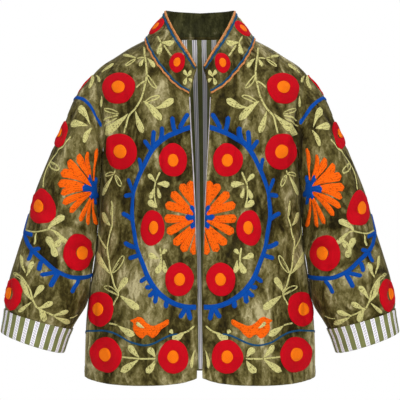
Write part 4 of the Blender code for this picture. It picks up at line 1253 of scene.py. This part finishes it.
def line_of_stitches(points, width, height=0.0010, spacing=0.003, cross=5):
    """A line of chain stitch, or a stem of a few rows, through points in metres along the cloth."""
    path = even_points(smooth_path(points, 20 * len(points)), spacing)
    path = path if len(path) > 3 else even_points(path, spacing / 3)
    return strip(path, round_ended(path, width / 2), height, cross)


def round_tip(t, start):
    """Shares of the full width of a shape that is round from start to its tip, at t from 0 to 1."""
    return np.sqrt(np.clip(1 - ((t - start) / (1 - start)).clip(0, 1) ** 2, 0.01, 1))


def filled_leaf(base, tip, width, bend, height=0.0013, steps=13):
    """A leaf filled with rows along it: pointed at the base, widest past the middle and round at the tip."""
    t = np.linspace(0, 1, steps)
    base, tip = np.asarray(base, float), np.asarray(tip, float)
    along = tip - base
    aside = np.array([along[1], -along[0]])
    path = base + t[:, None] * along + bend * (4 * t * (1 - t))[:, None] * aside
    swell = np.minimum(1, t / 0.62) ** 0.85 * round_tip(t, 0.76)
    return strip(path, width / 2 * swell + 0.0003, height, 7)


def filled_shape(outline, height, spacing=0.0026):
    """A shape of any outline filled with stitching. Its top is level, and slopes to sunk edges."""
    outline = even_points(smooth_path([*outline, outline[0]], 160), spacing)[:-1]
    flat, triangles = flat_sheet(outline, spacing)
    slope = smooth_step(distance_to(flat, outline) / 0.0030)
    return Patch(flat, (height + SUNK) * slope - SUNK, triangles, flat[triangles])


def leaf_outline(base, tip, width, bend, steps=26):
    """A leaf drawn by one line of chain stitch round its edge, with bare velvet inside."""
    t = np.linspace(0, 2 * math.pi, steps)
    base, tip = np.asarray(base, float), np.asarray(tip, float)
    along = tip - base
    length = np.hypot(*along)
    aside = np.array([along[1], -along[0]]) / length
    far = (1 - np.cos(t)) / 2
    swell = (width / 2 - 0.0009) * np.sin(t) * (0.75 + 0.25 * (1 - np.cos(t)) / 2)
    path = base + far[:, None] * along + (swell + bend * length * 4 * far * (1 - far))[:, None] * aside
    return strip(path, 0.0012, 0.0010, 5)


Ripple = namedtuple("Ripple", "share height")
RED_RING = table(
    Ripple,
    (1.0, -0.0007), (0.992, 0.0014), (0.96, 0.0025), (0.89, 0.0031), (0.74, 0.0033), (0.56, 0.0032),
    (0.44, 0.0028), (0.385, 0.0018), (0.3, 0.0014),
)
ORANGE_HEART = table(
    Ripple,
    (0.385, 0.0012), (0.374, 0.0028), (0.335, 0.0034), (0.23, 0.0037), (0.11, 0.0038), (0.002, 0.0038),
)


def disc(centre, half_width, half_height, rings, seed, stretch=(1.0, 1.0), segments=44):
    """Rounds of chain stitch from the rim to the middle, on an ellipse whose edge wavers a little."""
    angle = np.linspace(0, 2 * math.pi, segments + 1)
    waver = 1 + 0.014 * np.sin(3 * angle + seed) + 0.010 * np.sin(5 * angle + 2.3 * seed)
    share = column(rings, "share")[:, None]
    across = half_width * share * waver * np.cos(angle) / stretch[0]
    upward = half_height * share * waver * np.sin(angle) / stretch[1]
    flat = stacked(centre[0] + across, centre[1] + upward)
    rise = np.broadcast_to(column(rings, "height")[:, None], across.shape)
    radius = share * (half_width + half_height) / 2
    uv = np.stack(np.broadcast_arrays(angle * (radius + 0.004), radius), axis=-1)
    quads = grid_quads(len(rings), segments + 1)
    return Patch(flat.reshape(-1, 2), rise.ravel(), quads, uv.reshape(-1, 2)[quads])


def stretches(cloth, u, v):
    """How many metres of surface each flat metre gives there, across and up."""
    step = 0.004
    u, v = np.array([u]), np.array([v])
    across = cloth.surface(u + step, v) - cloth.surface(u - step, v)
    upward = cloth.surface(u, v + step) - cloth.surface(u, v - step)
    return np.linalg.norm(across) / (2 * step), np.linalg.norm(upward) / (2 * step)


def mirror(patch, axis=0.0):
    """The same patch on the other side of a line of the cloth."""
    flat = patch.flat * (-1, 1) + np.array([2 * axis, 0])
    return patch._replace(flat=flat, quads=patch.quads[:, ::-1], uv=patch.uv[:, ::-1])


def set_out(patch):
    """The same patch a little farther out, for the left front."""
    s, v = patch.flat.T
    return patch._replace(flat=stacked(s + eased_out(s), v))


def embroider(name, cloth, patches, material, limit=None):
    """One piece for all the patches of a colour on a panel, laid on the cloth and facing outwards.

    limit keeps the stitches on the panel: it takes flat points and gives them moved to its edge.
    """
    firsts = np.cumsum([0] + [len(patch.flat) for patch in patches[:-1]])
    flat = np.concatenate([patch.flat for patch in patches])
    rise = np.concatenate([patch.rise for patch in patches])
    quads = np.concatenate([patch.quads + first for patch, first in zip(patches, firsts)])
    uv = np.concatenate([patch.uv for patch in patches])
    if limit:
        kept = limit(flat)
        moved = np.linalg.norm(kept - flat, axis=1) > 1e-9
        whole = ~moved[quads].all(axis=1)
        quads, uv, flat = quads[whole], uv[whole], kept
        rise = np.where(moved, -SUNK, rise)
    u, v = flat.T
    place = cloth.surface(u, v) + rise[:, None] * normals(cloth.surface, u, v, cloth.turn)
    corner = flat[quads]
    spin = (corner[:, 1, 0] - corner[:, 0, 0]) * (corner[:, 2, 1] - corner[:, 0, 1])
    spin -= (corner[:, 1, 1] - corner[:, 0, 1]) * (corner[:, 2, 0] - corner[:, 0, 0])
    turned = spin * cloth.turn < 0
    quads[turned], uv[turned] = quads[turned][:, ::-1], uv[turned][:, ::-1]
    used, quads = used_only(quads, len(place))
    return add_piece(name, place[used], quads, uv, [material])


# The body's embroidery, the same on each front and on each half of the back: thick red discs with
# orange hearts, a ring of blue twigs round an orange flower, pale green sprays, a bird and a wave.
# Lengths are in millimetres along the cloth, for the side at +X.
FILLED, LOOP = True, False
Leaf = namedtuple("Leaf", "base_s base_v tip_s tip_v width kind", defaults=[FILLED])
BODY_LEAVES = table(
    Leaf,
    (116, -33, 145, -10, 8), (119, -35, 139, -47, 8, LOOP), (102, -37, 110, -52, 8),
    (97, -36, 83, -56, 8), (96, -70, 79, -94, 9, LOOP), (99, -120, 74, -108, 9, LOOP),
    (104, -117, 71, -151, 14), (82, -130, 48, -113, 13), (134, -138, 198, -174, 18),
    (155, -138, 188, -130, 9, LOOP), (119, -134, 105, -174, 13), (201, -103, 202, -125, 9),
    (175, -246, 200, -249, 8, LOOP), (177, -248, 217, -284, 12), (171, -249, 160, -268, 11, LOOP),
    (85, -262, 99, -248, 9), (81, -265, 58, -267, 12), (88, -273, 95, -291, 9), (80, -271, 76, -290, 8),
    (81, -306, 99, -294, 13), (185, -320, 181, -300, 7, LOOP), (187, -339, 218, -316, 14),
    (171, -425, 224, -388, 15), (167, -422, 148, -392, 13, LOOP), (150, -459, 132, -431, 14),
    (148, -461, 183, -448, 11, LOOP), (145, -462, 104, -485, 14), (74, -396, 94, -389, 11),
    (71, -389, 63, -379, 8), (71, -401, 78, -422, 11), (66, -398, 61, -421, 8),
    (144, -515, 111, -531, 13), (27, -526, 47, -537, 14), (46, -528, 51, -521, 8),
    (102, -570, 121, -549, 12), (103, -573, 136, -596, 13), (75, -569, 87, -553, 12),
    (75, -574, 90, -596, 12), (9, -556, 14, -588, 5), (200, -49, 166, -31, 12),
    (221, -48, 206, -74, 10),
)
Stem = namedtuple("Stem", "width points")
BODY_STEMS = table(
    Stem,
    (3.3, ((103, -4), (101, -28), (98, -51), (97, -70), (101, -91), (107, -112), (119, -130),
        (133, -143), (139, -159), (145, -175))),
    (2.8, ((99, -80), (109, -85), (118, -93))),
    (2.8, ((101, -35), (108, -33), (117, -34))),
    (2.8, ((155, -141), (173, -144), (198, -150))),
    (2.8, ((171, -239), (173, -243), (176, -249))),
    (2.4, ((158, -146), (178, -153), (202, -160))),
    (2.8, ((75, -242), (80, -253), (85, -264), (86, -293), (82, -307))),
    (3.3, ((184, -293), (180, -307), (183, -334), (186, -357), (188, -373), (182, -393), (174, -416),
        (168, -427), (159, -445), (148, -460), (154, -472), (158, -481))),
    (2.8, ((245, -323), (234, -349), (207, -367), (188, -381))),
    (2.8, ((74, -376), (71, -392), (69, -410), (61, -422))),
    (2.8, ((167, -512), (155, -513), (143, -515))),
    (2.8, ((136, -570), (118, -571), (101, -572), (73, -571))),
    (2.8, ((36, -528), (21, -523), (9, -513))),
)
BLUE_RING = (
    (6, -162), (20, -165), (39, -171), (75, -190), (89, -206), (105, -230), (120, -255), (133, -284),
    (136, -316), (129, -349), (121, -376), (106, -403), (87, -437), (66, -461), (48, -473), (26, -480),
    (2, -481),
)
Twig = namedtuple("Twig", "base_s base_v tip_s tip_v")
BLUE_TWIGS = table(
    Twig,
    (38, -167, 21, -139), (46, -173, 51, -144), (74, -190, 70, -162), (87, -203, 84, -170),
    (89, -206, 104, -187), (112, -243, 116, -218), (130, -282, 143, -254), (132, -284, 154, -286),
    (134, -328, 158, -316), (122, -377, 150, -368), (114, -390, 137, -396), (92, -428, 107, -438),
    (84, -447, 96, -446), (78, -451, 89, -463), (76, -454, 77, -475), (56, -469, 58, -483),
    (24, -480, 35, -500), (22, -480, 16, -504),
)
WAVE = (
    (274, -538), (240, -532), (204, -528), (181, -526), (157, -528), (136, -535), (118, -543),
    (104, -547), (89, -548), (74, -543), (62, -536), (49, -530), (36, -528),
)
BIRD_OUTLINE = (
    (123, -505), (114, -502), (106, -498), (97, -500), (89, -508), (79, -513), (68, -509), (53, -502),
    (52, -509), (64, -520), (71, -530), (80, -536), (88, -530), (97, -537), (108, -531), (115, -519),
    (115, -509), (121, -507),
)
BIRD_WING = ((107, -508), (92, -518))
FLOWER_CENTRE = (0, -324)
Tip = namedtuple("Tip", "s v")
FLOWER_TIPS = table(
    Tip,
    (19, -259), (37, -265), (54, -279), (66, -301), (68, -325), (62, -351), (49, -371), (32, -384),
    (13, -389),
)
STAR_TIPS = table(Tip, (28, -323), (18, -303), (17, -343))
STEM_FULLNESS = 1.2


def metres(points):
    return np.asarray(points, float) / 1000


def leaf_patches(leaves):
    """Filled and outlined leaves, each with a slight bend of its own."""
    made = []
    for i, leaf in enumerate(leaves):
        base, tip = metres((leaf.base_s, leaf.base_v)), metres((leaf.tip_s, leaf.tip_v))
        bend = 0.07 * math.sin(2.4 * i + 0.6)
        shape = filled_leaf if leaf.kind else leaf_outline
        made.append(shape(base, tip, leaf.width / 1000, bend))
        if not leaf.kind and leaf.width > 9:
            t = 0.62
            made.append(line_of_stitches([base, base + t * (tip - base)], 0.0016, 0.0008, 0.0025))
    return made


def stem_patches(stems):
    return [line_of_stitches(metres(stem.points), stem.width / 1000 * STEM_FULLNESS) for stem in stems]


def set_down(patch, centre, stretch):
    """A patch worked out in real lengths round a centre, put in lengths along a stretched cloth."""
    return patch._replace(flat=np.asarray(centre) + patch.flat / np.asarray(stretch))


def flower_patches(centre, tips, root, fat, stretch=(1.0, 1.0)):
    """Petals from a ring of the root's radius to each tip, widest near the tip and then round."""
    made = []
    t = np.linspace(0, 1, 18)
    for i, tip in enumerate(tips):
        reach = (metres(tip) - centre) * stretch
        length = np.hypot(*reach)
        way = reach / length
        far = root + (length - root) * t
        bend = 0.0022 * math.sin(3.1 * i + 1) * np.sin(math.pi * t)
        path = far[:, None] * way + bend[:, None] * np.array([way[1], -way[0]])
        swell = (0.40 + 0.60 * smooth_step(t / 0.75)) * round_tip(t, 0.88)
        made.append(set_down(strip(path, fat / 2 * swell, 0.0022 + 0.0003 * (i % 2), 7), centre, stretch))
    return made


def star_patches(centre, tips, radius, fat, stretch=(1.0, 1.0)):
    """A star of round-ended rays on a small hub, higher than the petals that it covers."""
    hub = tuple(Ripple(ring.share / ORANGE_HEART[0].share, ring.height + 0.0003) for ring in ORANGE_HEART)
    made = [disc(centre, radius, radius, hub, 1.0, stretch, 24)]
    for i, tip in enumerate(tips):
        reach = (metres(tip) - centre) * stretch
        bow = 0.0010 * math.sin(2.6 * i + 0.5) * np.array([reach[1], -reach[0]]) / np.hypot(*reach)
        ray = line_of_stitches([0 * reach, reach / 2 + bow, reach], fat, 0.0038, 0.0022, 7)
        made.append(set_down(ray, centre, stretch))
    return made


def blue_patches(ring, twigs, stem_width, twig_width):
    made = [line_of_stitches(metres(ring), stem_width, 0.0020, 0.0032, 7)]
    for i, twig in enumerate(twigs):
        base, tip = metres(twig[:2]), metres(twig[2:])
        middle = (base + tip) / 2 + 0.0012 * np.array([math.sin(2.2 * i), math.cos(1.7 * i)])
        made.append(line_of_stitches([base, middle, tip], twig_width, 0.0021, 0.0022, 7))
    return made


BLUE_RING_WIDE, BLUE_TWIG_WIDE = 0.0094, 0.0088
WAVE_WIDE, WAVE_HIGH = 0.0037, 0.0011
PETAL_ROOT, PETAL_WIDE = 0.014, 0.0162
STAR_RADIUS, STAR_RAY_WIDE = 0.0130, 0.0112
BIRD_HIGH, WING_WIDE, WING_HIGH = 0.0024, 0.0096, 0.0038
WING_LINE = ((90, -524), (83, -521), (76, -516))
body_blue = blue_patches(BLUE_RING, BLUE_TWIGS, BLUE_RING_WIDE, BLUE_TWIG_WIDE)
body_green = leaf_patches(BODY_LEAVES) + stem_patches(BODY_STEMS)
body_wave = [line_of_stitches(metres(WAVE), WAVE_WIDE, WAVE_HIGH)]
flower = flower_patches(metres(FLOWER_CENTRE), FLOWER_TIPS, PETAL_ROOT, PETAL_WIDE)
star = star_patches(metres(FLOWER_CENTRE), STAR_TIPS, STAR_RADIUS, STAR_RAY_WIDE)

bird = [filled_shape(metres(BIRD_OUTLINE), BIRD_HIGH)]
bird_wing = [filled_leaf(metres(BIRD_WING[1]), metres(BIRD_WING[0]), WING_WIDE, 0.05, WING_HIGH)]
bird_wing += [line_of_stitches(metres(WING_LINE), 0.0014, 0.0030, 0.0022)]

body_red, body_hearts = [], []
for i, (spot_s, spot_v, half_wide, half_high) in enumerate(BODY_SPOTS):
    body_red.append(disc((spot_s, spot_v), half_wide, half_high, RED_RING, 1.3 * i))
    heart = (spot_s + BODY_DISCS[i].heart_shift, spot_v + 0.0006 * math.cos(2.0 * i))
    body_hearts.append(disc(heart, half_wide, half_high, ORANGE_HEART, 2.1 * i))

FRONT_EDGE_LINE = cloth_line(FRONT_EDGE)
EDGE_MARGIN, SEAM_MARGIN = 0.0009, 0.0006


def keep_on_front(side):
    """Moves points that would pass the open edge or the side seam back to it."""

    def limit(flat):
        edge = np.interp(flat[:, 1], FRONT_EDGE_LINE[:, 1], FRONT_EDGE_LINE[:, 0]) + EDGE_MARGIN
        s = np.clip(flat[:, 0] * side, edge, BODY_QUARTER - SEAM_MARGIN)
        return stacked(s * side, flat[:, 1])

    return limit


def keep_on_back(flat):
    """Moves points that would pass a side seam back to it."""
    widest = BODY_QUARTER - SEAM_MARGIN
    return stacked(np.clip(flat[:, 0], -widest, widest), flat[:, 1])


COLOURS = (
    ("red_discs", body_red, RED),
    ("disc_hearts", body_hearts, DISC_ORANGE),
    ("blue_ring", body_blue, BLUE),
    ("flower", flower, PETAL_ORANGE),
    ("flower_star", star, BLUE),
    ("leaf_sprays", body_green, LEAF_GREEN),
    ("wave", body_wave, SEA_BLUE),
    ("bird", bird, PETAL_ORANGE),
    ("bird_wing", bird_wing, LEAF_GREEN),
)
for side, word in SIDES:
    for name, patches, material in COLOURS:
        if side < 0:
            patches = [mirror(patch) for patch in patches]
        else:
            patches = [set_out(patch) for patch in patches]
        worked = embroider(f"front_{word}_{name}", FRONTS[side], patches, material, keep_on_front(side))

# Only on the back, which has no opening: sprays below the neck and between the two lower discs.
BACK_LEAVES = table(
    Leaf,
    (14, -62, 8, -30, 11), (16, -66, 46, -46, 12), (12, -78, 38, -88, 12), (54, -60, 80, -34, 12, LOOP),
    (60, -66, 84, -72, 11), (8, -98, 24, -124, 12), (5, -540, 18, -562, 11), (6, -524, 20, -512, 9),
    (226, -452, 244, -428, 12), (228, -462, 250, -470, 11, LOOP),
)
BACK_STEMS = table(
    Stem,
    (3.0, ((0, -34), (4, -60), (2, -90), (0, -128))),
    (2.8, ((4, -70), (28, -66), (58, -64))),
    (2.8, ((0, -500), (2, -530), (0, -580))),
    (2.8, ((214, -470), (224, -458), (234, -440))),
)
back_green = leaf_patches(BACK_LEAVES) + stem_patches(BACK_STEMS)
for name, patches, material in COLOURS:
    if name == "leaf_sprays":
        patches = patches + back_green
    patches = patches + [mirror(patch) for patch in patches]
    worked = embroider(f"back_{name}", BACK, patches, material, keep_on_back)


# The sleeves' embroidery: the same motifs, worked on the front half of each sleeve and again,
# mirrored over the line of the shoulder, on the back half. The flower runs into the underarm seam.
SLEEVE_LEAVES = table(
    Leaf,
    (196, 8, 214, 2, 7), (206, 3, 190, 5, 9, LOOP), (207, 0, 182, 14, 11), (132, 30, 174, 44, 11),
    (135, 35, 176, 68, 10), (128, 28, 128, 57, 11), (189, 131, 150, 124, 11, LOOP),
    (131, 237, 104, 191, 14), (154, 248, 154, 274, 6), (120, 233, 90, 249, 12),
    (103, 239, 112, 264, 12), (112, 277, 130, 249, 16), (122, 258, 107, 285, 15),
    (154, 340, 182, 305, 11), (150, 346, 144, 309, 10), (126, 394, 158, 354, 14),
    (158, 356, 190, 350, 9, LOOP), (126, 388, 115, 353, 11), (127, 396, 147, 427, 8),
    (113, 408, 93, 383, 12), (114, 402, 93, 432, 14), (81, 413, 57, 395, 12), (78, 416, 35, 423, 12),
)
SLEEVE_STEMS = table(
    Stem,
    (2.8, ((154, 74), (165, 95), (183, 116), (189, 134), (184, 150), (173, 168))),
    (2.8, ((197, 254), (157, 248), (138, 239), (127, 233), (112, 233), (94, 248))),
    (3.3, ((185, 351), (162, 350), (147, 360), (137, 371), (125, 393), (111, 406), (101, 409),
        (85, 413), (74, 414))),
    (2.3, ((45, 412), (33, 408), (24, 400))),
)
SLEEVE_RING = (
    (222, 222), (214, 238), (204, 254), (180, 271), (152, 287), (126, 300), (98, 315), (74, 320),
    (52, 317), (28, 311), (1, 304),
)
SLEEVE_TWIGS = table(
    Twig,
    (204, 258, 163, 256), (152, 287, 138, 277), (154, 288, 155, 312), (130, 302, 128, 326),
    (96, 318, 104, 353), (98, 316, 124, 334), (54, 320, 64, 354),
)
SLEEVE_ARC = ((222, 46), (208, 42), (190, 37), (172, 28), (155, 20), (140, 14), (128, 9), (117, 4))
SLEEVE_FLOWER = (56, 70)
SLEEVE_TIPS = table(
    Tip,
    (98, 26), (112, 57), (126, 81), (139, 103), (143, 126), (140, 144), (125, 154), (115, 168),
    (96, 177), (72, 185), (51, 184), (27, 172),
)
SLEEVE_STAR_TIPS = table(
    Tip,
    (88, 105), (86, 72), (62, 40), (60, 100), (36, 88), (34, 50),
)

SLEEVE_PETAL_ROOT, SLEEVE_PETAL_WIDE, SLEEVE_STAR_RADIUS = 0.015, 0.0120, 0.0140
SLEEVE_VINE_WIDE, SLEEVE_TWIG_WIDE = 0.0104, 0.0092
SLEEVE_ARC_WIDE, SLEEVE_ARC_HIGH = 0.0051, 0.0014
SLEEVE_SET_OVER, SLEEVE_SET_DOWN, FLOWER_SET_DOWN = 0.0150, 0.0035, 0.0080
sleeve_red, sleeve_hearts = [], []
for i, spot in enumerate(SLEEVE_DISCS):
    stretch = stretches(SLEEVES[1], spot.u, spot.v)
    centre = (spot.u, spot.v)
    size = (spot.half_width, spot.half_height)
    sleeve_red.append(disc(centre, *size, RED_RING, 1.7 * i, stretch))
    centre = (spot.u + SLEEVE_HEART_SHIFTS[i], spot.v)
    sleeve_hearts.append(disc(centre, 0.97 * size[0], 0.97 * size[1], ORANGE_HEART, 2.9 * i, stretch))
sleeve_green = leaf_patches(SLEEVE_LEAVES) + stem_patches(SLEEVE_STEMS)
flower_stretch = stretches(SLEEVES[1], 0.080, 0.095)
sleeve_centre = metres(SLEEVE_FLOWER)
sleeve_flower = flower_patches(
    sleeve_centre, SLEEVE_TIPS, SLEEVE_PETAL_ROOT, SLEEVE_PETAL_WIDE, flower_stretch
)
sleeve_star = star_patches(
    sleeve_centre, SLEEVE_STAR_TIPS, SLEEVE_STAR_RADIUS, SLEEVE_PETAL_WIDE, flower_stretch
)
sleeve_blue = blue_patches(SLEEVE_RING, SLEEVE_TWIGS, SLEEVE_VINE_WIDE, SLEEVE_TWIG_WIDE)
sleeve_arc = [line_of_stitches(metres(SLEEVE_ARC), SLEEVE_ARC_WIDE, SLEEVE_ARC_HIGH)]
sleeve_sets = (
    ("red_discs", sleeve_red, RED),
    ("disc_hearts", sleeve_hearts, DISC_ORANGE),
    ("blue_vine", sleeve_blue, BLUE),
    ("blue_arc", sleeve_arc, BLUE),
    ("flower", sleeve_flower, PETAL_ORANGE),
    ("flower_star", sleeve_star, BLUE),
    ("leaf_sprays", sleeve_green, LEAF_GREEN),
)


UNDERARM_MARGIN, ARMHOLE_MARGIN, CUFF_LAP = 0.0008, 0.0015, 0.0100


def keep_on_sleeve(flat):
    """Moves points that would pass the underarm seam, the armhole or the cuff back to it."""
    low = (UNDERARM_MARGIN, ARMHOLE_MARGIN)
    return np.clip(flat, low, (SLEEVE_ROUND - UNDERARM_MARGIN, CUFF_TOP + CUFF_LAP))


def set_over(patch):
    """Moves the left sleeve's motifs away from its seam and down, most of all those by the flower."""
    u, v = patch.flat.T
    over = SLEEVE_SET_OVER * smooth_step(u / 0.050) * (1 - u / 0.160)
    near_flower = (1 - smooth_step((u - 0.110) / 0.060)) * (1 - smooth_step((v - 0.190) / 0.060))
    down = (SLEEVE_SET_DOWN + FLOWER_SET_DOWN * near_flower) * (1 - smooth_step((u - 0.160) / 0.040))
    return patch._replace(flat=stacked(u + over, v + down * smooth_step(v / 0.030)))


for side, word in SIDES:
    for name, patches, material in sleeve_sets:
        if side > 0:
            patches = [set_over(patch) for patch in patches]
        once = 1 if name in ("red_discs", "disc_hearts") else 0
        patches = patches + [mirror(patch, SLEEVE_ROUND / 2) for patch in patches[once:]]
        worked = embroider(f"sleeve_{word}_{name}", SLEEVES[side], patches, material, keep_on_sleeve)


# The collar's embroidery: small discs and sprays, with a line of blue and a line of orange chain
# stitch along its rim and again above the neck seam.
COLLAR_DISCS = table(
    Spot,
    (0.0445, 0.0292, 0.0168, 0.0172), (0.137, 0.03, 0.0195, 0.0185), (0.215, 0.027, 0.016, 0.0165),
)
COLLAR_MIRROR_SHIFTS = (0.0010, 0.0090, 0.0)
COLLAR_LEAVES = table(
    Leaf,
    (99, 26, 81, 41, 11), (99, 26, 82, 13, 10), (13, 26, 26, 28, 7), (14, 24, 8, 38, 8),
    (13, 24, 13, 11, 8), (10, 24, 1, 24, 7), (160, 28, 178, 39, 9), (160, 25, 178, 14, 9),
    (190, 26, 176, 26, 8), (240, 26, 252, 38, 9), (240, 26, 252, 14, 9),
)
COLLAR_STEMS = table(
    Stem,
    (2.4, ((118, 26), (107, 26), (98, 26))),
    (2.4, ((92, 28), (79, 28), (62, 28))),
    (2.4, ((150, 26), (170, 26), (198, 26))),
    (2.4, ((230, 26), (248, 26), (265, 26))),
)
Trim = namedtuple("Trim", "height colour sway")
COLLAR_TRIMS = table(
    Trim,
    (50.8, TRIM_ORANGE, 0.2), (46.6, SEA_BLUE, 0.25), (6.4, SEA_BLUE, 0.3), (2.8, TRIM_ORANGE, 0.5),
)
collar_red, collar_hearts = [], []
for i, spot in enumerate(COLLAR_DISCS):
    stretch = stretches(COLLAR, spot.u, spot.v)
    small = tuple(Ripple(r.share, r.height * 0.75) for r in RED_RING)
    heart = tuple(Ripple(r.share * 1.2, r.height * 0.78) for r in ORANGE_HEART)
    for made, rings, seed, segments in ((collar_red, small, i, 32), (collar_hearts, heart, i + 1, 28)):
        patch = disc((spot.u, spot.v), spot.half_width, spot.half_height, rings, seed, stretch, segments)
        made += [patch, mirror(patch, COLLAR_LONG - COLLAR_MIRROR_SHIFTS[i] / 2)]
collar_green = leaf_patches(COLLAR_LEAVES) + stem_patches(COLLAR_STEMS)
collar_green += [mirror(patch, COLLAR_LONG) for patch in collar_green]
for name, patches, material in (
    ("red_discs", collar_red, RED),
    ("disc_hearts", collar_hearts, DISC_ORANGE),
    ("leaf_sprays", collar_green, LEAF_GREEN),
):
    worked = embroider(f"collar_{name}", COLLAR, patches, material)
for i, trim in enumerate(COLLAR_TRIMS):
    u = np.linspace(1.5, 2000 * COLLAR_LONG - 1.5, 260)
    v = trim.height + trim.sway * np.sin(u * 0.36 + i) + 0.6 * trim.sway * np.sin(u * 0.83 + 2 * i)
    line = strip(metres(stacked(u, v)), 0.0016, 0.0014)
    worked = embroider(f"collar_trim_{i + 1}", COLLAR, [line], trim.colour)


# The front edges: a narrow turning of the lining shows as a pale line along each open edge. It thins
# out to nothing below the waist, where the velvet is turned over it.
EDGE_CLOTH, edge_tree, edge_shader = new_material("pale_edge_cotton", 0.8)
edge_noise = noise(edge_tree, object_place(edge_tree, (1, 1, 0.3)), 220, 2)
edge_colour = ramp(edge_noise, ((0.3, (0.26, 0.24, 0.24)), (0.7, (0.52, 0.49, 0.53))))
fill(edge_tree, edge_shader, {"Base Color": edge_colour})
EDGE_SHOWS_TO, EDGE_HALF = -0.400, {1: 0.0006, -1: 0.0011}
for side, word in SIDES:
    path = even_points(FRONT_EDGE_LINE, 0.004) + np.array([0.0001, 0])
    path = path[path[:, 1] > EDGE_SHOWS_TO][:-1] * (side, 1)
    fading = EDGE_HALF[side] * smooth_step((path[:, 1] - EDGE_SHOWS_TO) / 0.09)
    binding = embroider(f"front_{word}_edge_turning", FRONTS[side], [strip(path, fading, 0.0005)], EDGE_CLOTH)


# The studio: a pale floor below, a white surround, and large soft lights. The camera looks level at
# the middle of the jacket from 3 m, far enough that its sides show as in the photograph.
CAMERA_AWAY, CAMERA_UP, METRES_ACROSS = 3.0, -0.293, 0.736
camera_data = bpy.data.cameras.new("camera")
camera_data.sensor_width = 36
camera_data.lens = 36 * CAMERA_AWAY / METRES_ACROSS
camera = new_object("camera", camera_data)
camera.location = (0, -CAMERA_AWAY, CAMERA_UP)
camera.rotation_euler = (math.radians(90), 0, 0)
bpy.context.scene.camera = camera

floor_mesh = bpy.data.meshes.new("floor")
FLOOR_REACH, FLOOR_Z = 2.4, -1.03
floor_corners = [(x * FLOOR_REACH, y * FLOOR_REACH, FLOOR_Z) for x, y in ((-1, -1), (1, -1), (1, 1), (-1, 1))]
floor_mesh.from_pydata(floor_corners, [], [(0, 1, 2, 3)])
floor = new_object("floor", floor_mesh)
floor_material, floor_tree, floor_shader = new_material("pale_floor", 0.6)
fill(floor_tree, floor_shader, {"Base Color": (0.86, 0.86, 0.85, 1)})
floor_mesh.materials.append(floor_material)

Lamp = namedtuple("Lamp", "name place aim size watts")
LAMPS = (
    Lamp("key", (1.5, -2.5, 1.5), (0.0, 0.0, -0.25), 1.0, 52),
    Lamp("fill", (-2.2, -2.3, 0.4), (0.0, 0.0, -0.30), 1.6, 16),
    Lamp("front", (0.0, -3.3, 0.1), (0.0, 0.0, -0.30), 1.5, 35),
    Lamp("top", (-0.2, 0.4, 2.3), (0.0, 0.0, -0.30), 1.5, 24),
    Lamp("rear", (0.4, 2.8, 0.9), (0.0, 0.0, -0.30), 1.8, 30),
)
for lamp in LAMPS:
    light = bpy.data.lights.new(lamp.name, "AREA")
    light.size = lamp.size
    light.energy = lamp.watts
    hung = new_object(lamp.name, light)
    hung.location = lamp.place
    hung.rotation_euler = (Vector(lamp.aim) - Vector(lamp.place)).to_track_quat("-Z", "Y").to_euler()

world = bpy.data.worlds.new("white_surround")
bpy.context.scene.world = world
world.use_nodes = True
tree = world.node_tree
white = (1, 1, 1, 1)
lit = fill(tree, tree.nodes["Background"], {"Color": white, "Strength": 0.42}).outputs[0]
shown = fill(tree, tree.nodes.new("ShaderNodeBackground"), {"Color": white, "Strength": 1.0}).outputs[0]
seen = tree.nodes.new("ShaderNodeLightPath").outputs["Is Camera Ray"]
blend = fill(tree, tree.nodes.new("ShaderNodeMixShader"), {0: seen, 1: lit, 2: shown}).outputs[0]
fill(tree, tree.nodes["World Output"], {"Surface": blend})
bpy.context.scene.view_settings.view_transform = "Standard"
